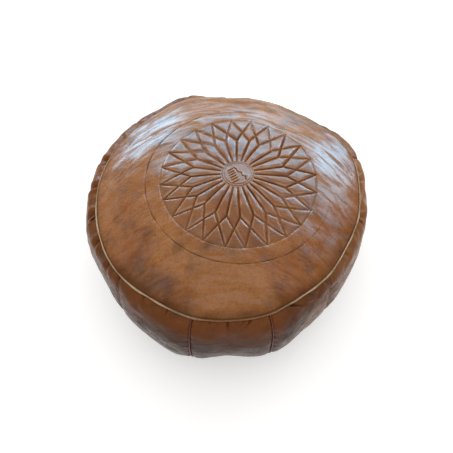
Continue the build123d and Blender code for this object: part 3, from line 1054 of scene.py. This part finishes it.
def top_surface(level, sizes):
    """Outside of the top: its points, and what its finish reads at each of them."""
    turn = turn_of(level)
    radius = np.linalg.norm(level, axis=-1)
    share = dome_share(radius, turn, sizes)
    height = dome_height(np.minimum(share, 1.0), sizes)
    move, groove, lip, stipple, petal = tooling(level - ROSETTE_CENTRE, sizes)
    edge = sizes.rim_radius * rim_share(turn) - radius
    plain = np.concatenate([level, height[:, None]], -1)
    middle = ramp(edge, 0.03)
    height = height + move + 0.0016 * lumps(plain, 0.075, 5) * middle
    height = height + 0.0004 * lumps(plain, 0.022, 8) * middle
    ripple = fading(edge, 0.018) * ramp(edge, 0.002)
    height = height + 0.0012 * ripple * lumps(plain, 0.024, 9)
    # Painted shade in the tooled lines, and a painted shadow along the top's edge at the seam
    crease_shade = np.maximum(groove, 0.95 * fading(edge, 0.0032))
    # Painted shade in a band inside the rim, strongest at the front
    front = np.clip(0.2 + np.cos(turn * EVEN_TURN), 0, 1) * (0.85 + 0.15 * lumps(level, 0.03, 15))
    crease_shade = np.maximum(crease_shade, 0.62 * front * bell(edge, 0.016))
    points = np.concatenate([AXIS + level, height[:, None]], -1)
    return points, {"crease_shade": crease_shade, "lip_wear_and_highlight": lip, "stipple": stipple, "petal": petal}


def top_underside(rim, sizes):
    """Rings that turn the rim under and line the top, ending in its middle."""
    ways = (rim[:, :2] - AXIS) / np.linalg.norm(rim[:, :2] - AXIS, axis=-1, keepdims=True)
    under = sizes.seam_height + sizes.welt / 2
    rings = []
    for inward, drop in ((0.0003, 0.0007), (0.0010, 0.0015), (0.0022, 0.0021)):
        ring = rim.copy()
        ring[:, :2] -= ways * inward
        ring[:, 2] = under + sizes.leather - drop
        rings.append(ring)
    coarse, ways = rim[::4], ways[::4]
    reach = np.linalg.norm(coarse[:, :2] - AXIS, axis=-1)
    for share in (1.0, 0.97, 0.92, 0.84, 0.72, 0.56, 0.38, 0.2, 0.06):
        ring = np.empty_like(coarse)
        ring[:, :2] = AXIS + ways * ((reach - LINING_GAP) * share)[:, None]
        ring[:, 2] = dome_height(share, sizes) - sizes.leather
        rings.append(ring)
    rings.append(np.array([[*AXIS, dome_height(0.0, sizes) - sizes.leather]]))
    return rings


class POUF_OT_top(bpy.types.Operator):
    """Domed top with the tooled rosette"""

    bl_idname = "pouf.top"
    bl_label = "Tooled top"

    def execute(self, context):
        sizes = context.scene.pouf_sizes
        rings = top_rings(sizes)
        points, layers = top_surface(np.concatenate(rings), sizes)
        outside = np.split(points, np.cumsum([len(ring) for ring in rings])[:-1])
        underside = top_underside(outside[-1], sizes)
        unseen = sum(len(ring) for ring in underside)
        # The underside gets half the painted shade and none of the other marks
        for label, values in layers.items():
            layers[label] = np.concatenate([values, np.full(unseen, 0.5 if label == "crease_shade" else 0.0)])
        made = turned("top_leather", outside + underside, finish("top_leather"), layers)
        declare(made, "tan_leather", "top_panel", fill=0.9)
        return {"FINISHED"}


# Sides


def side_height(down, sizes):
    """Height of a point a share of the way down the sides."""
    top = sizes.seam_height - sizes.welt / 2
    foot = sizes.base_seam_height + sizes.welt / 2
    return top - (top - foot) * down


def side_profile(turn, along_path, sizes):
    """Radius and height down the sides at positions round the pouf."""
    turn = np.asarray(turn, float)
    rim = sizes.rim_radius * rim_share(turn)
    belly = rim + sizes.rim_radius * bulge_share(turn)
    radii = [rim + (belly - rim) * bulge for _, bulge in UPPER_PROFILE]
    radii += [sizes.base_seam_radius + (belly - sizes.base_seam_radius) * bulge for _, bulge in LOWER_PROFILE]
    radii = np.stack(radii)
    heights = np.array([side_height(down, sizes) for down, _ in UPPER_PROFILE + LOWER_PROFILE])
    mean = radii.reshape(len(heights), -1).mean(1)
    steps = np.hypot(np.diff(mean), np.diff(heights))
    knots = np.concatenate([[0], np.cumsum(steps)]) / steps.sum()
    return smooth_line(knots, radii, along_path), smooth_line(knots, heights, along_path)


def seam_hold(down):
    """How much a seam draws the leather in at a share of the way down: not at all at its ends."""
    return np.clip(np.sin(pi * down), 0, 1) ** 0.7


def crowded(count, share):
    """Steps from zero to one, closer together at both ends."""
    even = np.linspace(0, 1, count)
    return even - share * np.sin(tau * even) / tau


def side_grid(panel, columns, rows, sizes):
    """Base form of one panel: points, places along it, and distances from its seams and the top seam."""
    across, down = crowded(columns, 0.62), crowded(rows, 0.45)
    first, last = seam_turn(panel), seam_turn(panel + 1)
    gap = sizes.side_welt / 2 / (sizes.rim_radius * EVEN_TURN)
    turn = first + gap + (last - first - 2 * gap) * across
    radius, height = side_profile(turn, down, sizes)
    height = np.broadcast_to(height[:, None], radius.shape)
    draw = np.interp(across, [0, 1], [SEAM_DRAW_SHARES[panel], SEAM_DRAW_SHARES[(panel + 1) % PANELS]])
    pinch = sizes.seam_draw * draw * np.abs(2 * across - 1) ** 5
    radius = radius - pinch * seam_hold(down)[:, None]
    grid = placed(radius, turn, height)
    from_start = (turn - first) * EVEN_TURN * radius
    from_end = (last - turn) * EVEN_TURN * radius
    path = np.concatenate([[0], np.cumsum(np.linalg.norm(np.diff(grid.mean(1), axis=0), axis=-1))])
    return grid, turn, np.minimum(from_start, from_end), path


def puckered(turn, down, sizes):
    """Creases of the gathers at positions along a panel and distances down from the top seam, with painted
    shade in each.
    """
    move, dark = np.zeros((2, len(down), len(turn)))
    for owner, along, reach, depth, lean, width in PUCKERS:
        reach, depth, width = reach * MM, depth * MM, width * MM
        for shift in (-PANELS, 0, PANELS):
            start = seam_turn(owner) + along * (seam_turn(owner + 1) - seam_turn(owner)) + shift
            if not turn[0] - 0.6 < start < turn[-1] + 0.6:
                continue
            place = (turn[None] - start) * EVEN_TURN * sizes.rim_radius
            place = place - lean * down - 2.0 * lean * down**2 / reach
            fade = (1 - ramp(down, reach)) ** 0.8
            fold = place / (width * (1 + 0.8 * down / reach))
            ridges = 0.55 * np.exp(-((np.abs(fold) - 2.1) ** 2) / 1.6)
            move += depth * fade * (ridges - np.exp(-(fold**2)))
            # Painted shade in each crease
            dark = np.maximum(dark, 0.9 * fade * bell(fold, 0.75))
    return move, dark


def gathered(panel, grid, turn, from_seam, path, sizes):
    """Gathers, creases and seams of one panel: how far its surface moves out, and how dark its painted shade
    gets.
    """
    down = path[:, None]
    up = path[-1] - down
    move, dark = puckered(turn, down, sizes)

    # The roll under the top seam
    roll = bell(down - ROLL_DROP, ROLL_SPREAD) * (0.4 + 0.6 * ramp(from_seam, 0.012))
    full = ROLL_RISE + sum(ROLL_EXTRA * bell(turn - middle, spread) for middle, spread in ROLL_TURNS)
    move += roll * (full + 0.0008 * lumps(grid, 0.05, 100 + panel))

    # Unevenness: close under the top seam, over the whole panel, and where the side seams tug
    move += 0.0008 * lumps(grid, 0.013, 21 + panel) * fading(down, 0.011) * ramp(down, 0.002)
    clear = ramp(from_seam, 0.02) * ramp(down, 0.02) * ramp(up, 0.02)
    move += 0.0012 * lumps(grid, 0.055, 40 + panel) * clear
    move += 0.0005 * lumps(grid, 0.016, 60 + panel) * clear
    tugged = lumps(grid * (1, 1, 2.2), 0.012, 80 + panel) * bell(from_seam, 0.010) * clear**0.2
    move += 0.0006 * tugged

    # Edges that turn in, and painted shade along the side seams, the top seam and the base seam
    for distance, (reach, depth) in ((from_seam, SEAM_TUCK), (down, TOP_TUCK), (up, BASE_TUCK)):
        move -= depth * round_edge(distance, reach)
    for distance, reach, amount in ((from_seam, 0.0022, 0.85), (down, 0.0030, 0.78), (up, 0.0050, 0.80)):
        dark = np.maximum(dark, amount * fading(distance, reach))
    return move, dark


def shaped_panel(panel, columns, rows, sizes):
    """Outside of one panel with its gathers, and how dark its painted shade gets."""
    grid, turn, from_seam, path = side_grid(panel, columns, rows, sizes)
    move, dark = gathered(panel, grid, turn, from_seam, path, sizes)
    out = grid_normals(grid)
    facing = np.sign((out[..., :2] * outward(turn)[None]).sum(-1).mean())
    outside = grid + out * facing * move[..., None]
    if facing < 0:
        return outside[:, ::-1], dark[:, ::-1]
    return outside, dark


def puffed(grids, slack, pressure, limit):
    """Lets sheets of leather swell and wrinkle between their held edges. Gives how far each point moves."""
    scene = bpy.context.scene
    sheets = []
    for grid in grids:
        rows, columns = grid.shape[:2]
        index = np.arange(rows * columns).reshape(rows, columns)
        corners = (index[:-1, :-1], index[:-1, 1:], index[1:, 1:], index[1:, :-1])
        faces = np.stack(corners, -1).reshape(-1, 4).tolist()
        sheet = linked("swelling", plain_mesh("swelling", grid, [], faces))
        held = sheet.vertex_groups.new(name="held")
        border = np.concatenate([index[0], index[-1], index[:, 0], index[:, -1]])
        held.add(np.unique(border).tolist(), 1.0, "REPLACE")
        cloth = sheet.modifiers.new("cloth", "CLOTH")
        for label, value in CLOTH_SETTINGS.items():
            setattr(cloth.settings, label, value)
        cloth.settings.shrink_min = -slack
        cloth.settings.uniform_pressure_force = pressure
        cloth.settings.effector_weights.gravity = 0.0
        cloth.point_cache.frame_end = CLOTH_FRAMES
        sheets.append(sheet)
    for step in range(1, CLOTH_FRAMES + 1):
        scene.frame_set(step)
    graph = bpy.context.evaluated_depsgraph_get()
    moves = []
    for sheet, grid in zip(sheets, grids):
        swollen = sheet.evaluated_get(graph).to_mesh()
        places = np.empty(len(swollen.vertices) * 3)
        swollen.vertices.foreach_get("co", places)
        move = places.reshape(grid.shape) - grid
        length = np.linalg.norm(move, axis=-1, keepdims=True)
        moves.append(move * np.minimum(1, limit / np.maximum(length, 1e-9)))
        bpy.data.objects.remove(sheet)
    scene.frame_set(1)
    return moves


class POUF_OT_sides(bpy.types.Operator):
    """Twelve leather side panels, gathered into the top seam"""

    bl_idname = "pouf.sides"
    bl_label = "Side panels"

    def execute(self, context):
        sizes = context.scene.pouf_sizes
        columns, rows = PANEL_GRID
        coarse = [shaped_panel(panel, *SWELL_GRID, sizes)[0] for panel in range(PANELS)]
        swells = puffed(coarse, sizes.side_slack, sizes.side_pressure, sizes.side_swell)
        for panel in range(PANELS):
            outside, dark = shaped_panel(panel, columns, rows, sizes)
            outside = outside + finer(swells[panel], rows, columns)
            plain = np.zeros_like(dark)
            layers = {"crease_shade": dark, "lip_wear_and_highlight": plain, "stipple": plain, "petal": plain}
            name = f"side_leather_{panel + 1:02d}"
            made = shell(name, outside, sizes.leather, finish("side_leather"), layers)
            declare(made, "tan_leather", f"side_panel_{panel + 1:02d}", fill=0.8)
        return {"FINISHED"}


# Welts


class POUF_OT_welts(bpy.types.Operator):
    """Welts in the seams: pale raw edge round the top, maroon strips in the sides, strip round the base"""

    bl_idname = "pouf.welts"
    bl_label = "Welts"

    def execute(self, context):
        sizes = context.scene.pouf_sizes
        tree = welt_tree()

        width = 0.0105
        turn = np.linspace(0, PANELS, 360, endpoint=False)
        rim = sizes.rim_radius * rim_share(turn) + RIM_WELT_PROUD - width / 2
        path = placed(rim, turn, sizes.seam_height)
        wave = lumps(path, 0.022, 31) * 0.0007
        path[:, :2] += outward(turn) * wave[:, None]
        path[:, 2] += lumps(path, 0.030, 32) * 0.0004
        made = path_object("rim_edge", path, True)
        section = {"Width": width, "Thickness": sizes.welt, "Corner": 0.0007}
        grown(made, tree, section | {"Waver": 0.55, "Waver scale": 38.0, "Material": finish("raw_edge")})
        declare(made, "raw_leather_edge", "rim_welt")

        down = np.linspace(0.012, 0.992, 70)
        section = {"Width": sizes.side_welt, "Thickness": 0.0064, "Corner": 0.0006}
        section |= {"Waver": 0.10, "Waver scale": 90.0, "Material": finish("maroon_welt")}
        for seam, share in enumerate(SEAM_DRAW_SHARES):
            place = np.array([seam_turn(seam)])
            radius, height = side_profile(place, down, sizes)
            sunk = SUNK_IN_DEEP_SEAM if share == 1 else SUNK_IN_SEAM
            radius = radius[:, 0] - sizes.seam_draw * share * seam_hold(down) - sunk
            made = path_object(f"maroon_welt_{seam + 1:02d}", placed(radius, place, height), False)
            grown(made, tree, section)
            declare(made, "red_leather", f"side_welt_{seam + 1:02d}")

        turn = np.linspace(0, PANELS, 300, endpoint=False)
        path = placed(sizes.base_seam_radius - BASE_WELT_SUNK, turn, sizes.base_seam_height)
        made = path_object("base_edge", path, True)
        section = {"Width": 0.0090, "Thickness": sizes.welt, "Corner": 0.0007}
        grown(made, tree, section | {"Waver": 0.12, "Waver scale": 60.0, "Material": finish("raw_edge")})
        declare(made, "raw_leather_edge", "base_welt")
        return {"FINISHED"}


# Base


def base_profile(sizes):
    """Radii and heights of the base, from its seam under the foot and up into the recess."""
    edge = sizes.base_seam_height - sizes.welt / 2
    run = sizes.base_seam_radius - sizes.foot_outer
    bend = (run**2 + edge**2) / (2 * edge)
    sweep = np.linspace(np.arcsin(run / bend), 0, 9)
    profile = [(sizes.foot_outer + bend * sin(a), bend * (1 - cos(a))) for a in sweep]
    profile += [(r, 0.0) for r in np.linspace(sizes.foot_outer, sizes.foot_inner, 6)[1:]]
    for part in np.linspace(0, 1, 12)[1:]:
        rise = sizes.recess * part**2 * (3 - 2 * part)
        profile.append((sizes.foot_inner + (sizes.recess_radius - sizes.foot_inner) * part, rise))
    return profile


def slot_edge(swing, sizes):
    """Half the outline of the opening over the zip, from end to end."""
    x = (sizes.slot_half_length + sizes.slot_half_width) * np.cos(swing)
    past = np.maximum(np.abs(x) - sizes.slot_half_length, 0)
    y = np.sqrt(np.maximum(sizes.slot_half_width**2 - past**2, 0))
    return x, np.minimum(y, sizes.slot_half_width * np.minimum(1, np.sin(swing) * 12))


def base_grid(side, sizes):
    """Underside of one half of the base, from its seam to the opening over the zip."""
    swing = np.linspace(0, pi, 181)
    rows = [(r * np.cos(swing), r * np.sin(swing), np.full(len(swing), z)) for r, z in base_profile(sizes)]
    slot_x, slot_y = slot_edge(swing, sizes)
    last_x, last_y = rows[-1][:2]
    for part in np.linspace(0, 1, 16)[1:]:
        x = last_x + (slot_x - last_x) * part
        y = last_y + (slot_y - last_y) * part
        rows.append((x, y, np.full(len(swing), sizes.recess)))
    grid = np.array([np.stack([AXIS[0] + x, AXIS[1] + side * y, z], -1) for x, y, z in rows])
    if grid_normals(grid)[..., 2].mean() > 0:
        grid = grid[:, ::-1]
    from_axis = grid[..., :2] - AXIS
    free = ramp(0.168 - np.hypot(from_axis[..., 0], from_axis[..., 1]), 0.02)
    clear_of_slot = ramp(np.abs(from_axis[..., 1]) - 0.016, 0.02)
    grid[..., 2] += 0.0012 * lumps(grid, 0.05, 90 + side) * free * clear_of_slot
    return grid


class POUF_OT_base(bpy.types.Operator):
    """Two halves of the base, rolled under from the base seam and drawn in towards the zip"""

    bl_idname = "pouf.base"
    bl_label = "Base"

    def execute(self, context):
        sizes = context.scene.pouf_sizes
        for side, name in ((-1, "front"), (1, "back")):
            grid = base_grid(side, sizes)
            row = np.arange(len(grid))[:, None]
            # Painted shade: darker towards the base seam and towards the opening over the zip
            at_seam = fading(row * 0.003, 0.004)
            at_slot = 0.7 * fading((len(grid) - 1 - row) * 0.0085, 0.006)
            layers = {"crease_shade": np.broadcast_to(np.maximum(at_seam, at_slot), grid.shape[:2])}
            made = shell(f"base_leather_{name}", grid, sizes.leather, finish("base_leather"), layers)
            declare(made, "base_leather", f"base_panel_{name}", fill=0.7)
        return {"FINISHED"}


# Zip


def tooth(name, side):
    """One tooth at the origin, reaching from its tape across the middle line."""
    near, far = (-0.0010, 0.0034) if side > 0 else (-0.0034, 0.0010)
    low, high = Vector((-0.0005, near, -0.0014)), Vector((0.0005, far, 0.0014))
    block = bmesh.new()
    bmesh.ops.create_cube(block, size=1.0)
    for vertex in block.verts:
        share = vertex.co + Vector((0.5, 0.5, 0.5))
        vertex.co = Vector(a + (b - a) * s for a, b, s in zip(low, high, share))
    bmesh.ops.bevel(block, geom=block.edges[:], offset=0.00022, segments=1, affect="EDGES", profile=0.6)
    return built(name, block)


def stitch_pair(name):
    """Two stitches at the origin, one on either side of the zip."""
    pair = bmesh.new()
    for side in (-1, 1):
        made = bmesh.ops.create_uvsphere(pair, u_segments=10, v_segments=6, radius=1.0)
        for vertex in made["verts"]:
            x, y, z = (half * part for half, part in zip(STITCH_HALVES, vertex.co))
            vertex.co = Vector((x, y + side * STITCH_OFFSET, z))
    return built(name, pair)


def tape_grid(side, low, high):
    """Outside of one tape over its box, ribbed along its length."""
    across = np.linspace(0, 1, 19)
    x, y = np.meshgrid(np.linspace(low.x, high.x, 241), low.y + (high.y - low.y) * across)
    from_teeth = across if side > 0 else 1 - across
    z = np.full(x.shape, high.z) - RIB_DEPTH * (np.sin(from_teeth * 34)[:, None] ** 2)
    grid = np.stack([x, y, z], -1)
    return grid if grid_normals(grid)[..., 2].mean() > 0 else grid[::-1]


class POUF_OT_zip(bpy.types.Operator):
    """Zip in the base: tapes, rows of teeth, stitches, and brass for the stops, slider and pull"""

    bl_idname = "pouf.zip"
    bl_label = "Zip"

    def execute(self, context):
        sizes = context.scene.pouf_sizes
        tree = row_tree()

        def row(made, length, pitch, shift, height, inputs):
            """Copies of a small piece along the zip, centred on it but for a shift."""
            count = int(length / pitch)
            start = (AXIS[0] + shift - (count - 1) * pitch / 2, AXIS[1], height)
            grown(made, tree, {"Count": count, "Start": start, "Step": (pitch, 0, 0)} | inputs)

        pitch = sizes.tooth_pitch
        chain = sizes.recess + sizes.leather + 0.0004
        brass = {"Turn jitter": 0.02, "Material": finish("brass")}
        for side, name in ((-1, "front"), (1, "back")):
            teeth = tooth(f"teeth_{name}", side)
            row(teeth, sizes.zip_length, pitch, side * pitch / 4, chain, brass)
            declare(teeth, "zip_metal", f"zip_teeth_{name}")
            grid = tape_grid(side, *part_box(f"zip_tape_{name}"))
            tape = shell(f"tape_{name}", grid, TAPE_THICKNESS, finish("zip_tape"))
            declare(tape, "zip_tape", f"zip_tape_{name}")
        stitches = stitch_pair("stitches")
        thread = {"Turn jitter": 0.0, "Material": finish("thread")}
        row(stitches, 2 * sizes.slot_half_length, sizes.stitch_pitch, 0.0, sizes.recess - 0.0001, thread)
        declare(stitches, "thread", "zip_stitches")
        for name in ("zip_closed_stops", "zip_open_stop", "zip_slider", "zip_pull"):
            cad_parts[name].data.materials.clear()
            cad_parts[name].data.materials.append(finish("brass"))
        return {"FINISHED"}


# Inner bag and filling


class POUF_OT_filling(bpy.types.Operator):
    """Cotton inner bag and the wadding in it"""

    bl_idname = "pouf.filling"
    bl_label = "Inner bag and filling"

    def execute(self, context):
        sizes = context.scene.pouf_sizes
        turn = np.linspace(0, PANELS, 96, endpoint=False)
        radii, heights = side_profile(turn, np.linspace(0.03, 0.96, 18), sizes)
        for name, node, slot, inset in (
            ("cotton_bag", "inner_bag", "cotton", 0.0),
            ("wadding", "filling", "wadding", 0.0015),
        ):
            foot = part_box(node)[0].z + inset
            recess = foot + sizes.recess + 2 * sizes.leather
            rim = sizes.rim_radius * rim_share(turn) - BAG_GAP_TOP - inset
            rings = [np.array([[*AXIS, dome_height(0.0, sizes) - 2 * sizes.leather - inset]])]
            for share in (0.12, 0.25, 0.4, 0.55, 0.7, 0.82, 0.9, 0.95):
                height = dome_height(share, sizes) - 2.5 * sizes.leather - inset
                rings.append(placed(rim * share, turn, height))
            for radius, height in zip(radii, heights):
                rings.append(placed(radius - BAG_GAP_SIDE - inset, turn, height))
            for radius, height in (
                (sizes.foot_outer - 0.006, foot),
                (sizes.foot_inner, foot),
                (sizes.recess_radius + 0.004, recess - 0.003),
                (sizes.recess_radius - 0.004, recess),
                (sizes.recess_radius / 2, recess),
            ):
                rings.append(placed(radius, turn, height))
            rings.append(np.array([[*AXIS, recess]]))
            made = turned(name, rings, finish(slot))
            declare(made, slot, node, fill=0.8)
        return {"FINISHED"}


# Stage


def floor_white():
    """Pale floor that shows white to the camera, to gloss and through glass, and is plain as a light."""
    pale = Finish("floor_white")
    cloud = pale.noise(1.5, 2.0)
    ray = pale.add("ShaderNodeLightPath").outputs
    seen_by = pale.sum(ray["Is Camera Ray"], ray["Is Glossy Ray"], "MAXIMUM")
    seen_by = pale.sum(seen_by, ray["Is Transmission Ray"], "MAXIMUM")
    tone = pale.mixed(cloud, (0.93, 0.93, 0.93), (0.95, 0.95, 0.95))
    tone = pale.mixed(seen_by, (0.50, 0.51, 0.52), tone)
    shine = {"Emission_Color": (1.0, 1.0, 1.0), "Emission_Strength": pale.product(seen_by, 0.38)}
    bumps = pale.bumps((cloud, 0.0001))
    return pale.done(tone, pale.ranged(cloud, 0, 1, 0.8, 0.9), bumps, Specular_IOR_Level=0.0, **shine)


def studio_world():
    """Soft gradient as light, white to the camera, to gloss and through glass, with windows in the gloss."""
    world = bpy.data.worlds.new("studio")
    world.use_nodes = True
    wiring = Wiring(world.node_tree)
    wiring.nodes.clear()
    way = wiring.add("ShaderNodeTexCoord").outputs["Generated"]
    ray = wiring.add("ShaderNodeLightPath").outputs
    level = wiring.add("ShaderNodeSeparateXYZ", {0: way}).outputs["Z"]
    shine = 0.0
    for turn, rise, outer, inner, strength in WINDOWS:
        turn, rise, outer, inner = (radians(angle) for angle in (turn, rise, outer, inner))
        middle = (sin(turn) * cos(rise), cos(turn) * cos(rise), sin(rise))
        near = wiring.add("ShaderNodeVectorMath", {0: way, 1: middle}, operation="DOT_PRODUCT")
        field = wiring.ranged(near.outputs["Value"], cos(outer), cos(inner), 0.0, strength)
        shine = wiring.sum(field, shine)
    gradient = wiring.ranged(level, 0.0, 1.0, 0.16, 1.10, "LINEAR")
    light = wiring.output("ShaderNodeBackground", {"Color": (1.0, 0.98, 0.95), "Strength": gradient})
    white = wiring.output("ShaderNodeBackground", {"Color": (1.0, 1.0, 1.0), "Strength": 1.0})
    windows = wiring.output("ShaderNodeBackground", {"Color": WINDOW_TINT, "Strength": shine})
    mirrored = wiring.output("ShaderNodeAddShader", {0: white, 1: windows})
    unseen = wiring.output("ShaderNodeMixShader", {0: ray["Is Glossy Ray"], 1: light, 2: mirrored})
    seen_by = wiring.sum(ray["Is Camera Ray"], ray["Is Transmission Ray"], "MAXIMUM")
    shown = wiring.output("ShaderNodeMixShader", {0: seen_by, 1: unseen, 2: white})
    wiring.add("ShaderNodeOutputWorld", {0: shown})
    return world


class POUF_OT_stage(bpy.types.Operator):
    """Pale floor, soft studio light and the camera"""

    bl_idname = "pouf.stage"
    bl_label = "Stage"

    def execute(self, context):
        scene = context.scene
        bpy.ops.mesh.primitive_plane_add(size=14)
        floor = context.active_object
        floor.name = "floor"
        floor.data.materials.append(floor_white())
        scene.world = studio_world()

        for name, (place, size, power) in LAMPS.items():
            lamp = bpy.data.lights.new(name, "AREA")
            lamp.shape = "RECTANGLE"
            lamp.size, lamp.size_y = size
            lamp.energy = power
            lamp.color = LAMP_TINT
            made = linked(name, lamp)
            made.location = place
            made.rotation_euler = (LAMP_AIM - Vector(place)).to_track_quat("-Z", "Y").to_euler()

        eye = bpy.data.cameras.new("camera")
        eye.lens = EYE_LENS
        eye.sensor_width = EYE_SENSOR
        camera = linked("camera", eye)
        camera.location = EYE
        camera.rotation_euler = (EYE_TILT, 0, 0)
        scene.camera = camera
        scene.view_settings.view_transform = "Standard"
        return {"FINISHED"}


# Add-on

OPERATORS = (
    POUF_OT_top,
    POUF_OT_sides,
    POUF_OT_welts,
    POUF_OT_base,
    POUF_OT_zip,
    POUF_OT_filling,
    POUF_OT_stage,
)


class POUF_PT_panel(bpy.types.Panel):
    """Lists the pouf's pieces, sizes and colours"""

    bl_idname = "POUF_PT_panel"
    bl_label = "Leather pouf"
    bl_space_type = "VIEW_3D"
    bl_region_type = "UI"
    bl_category = "Pouf"

    def draw(self, context):
        for operator in OPERATORS:
            self.layout.operator(operator.bl_idname)
        for group in (context.scene.pouf_sizes, context.scene.pouf_colours):
            for label in group.bl_rna.properties.keys():
                if label not in ("rna_type", "name"):
                    self.layout.prop(group, label)


CLASSES = (PoufSizes, PoufColours, *OPERATORS, POUF_PT_panel)


def register():
    for item in CLASSES:
        bpy.utils.register_class(item)
    bpy.types.Scene.pouf_sizes = PointerProperty(type=PoufSizes)
    bpy.types.Scene.pouf_colours = PointerProperty(type=PoufColours)


def unregister():
    del bpy.types.Scene.pouf_colours
    del bpy.types.Scene.pouf_sizes
    for item in reversed(CLASSES):
        bpy.utils.unregister_class(item)


def main():
    register()
    bpy.ops.pouf.top()
    bpy.ops.pouf.sides()
    bpy.ops.pouf.welts()
    bpy.ops.pouf.base()
    bpy.ops.pouf.zip()
    bpy.ops.pouf.filling()
    bpy.ops.pouf.stage()


if __name__ == "__main__":
    main()
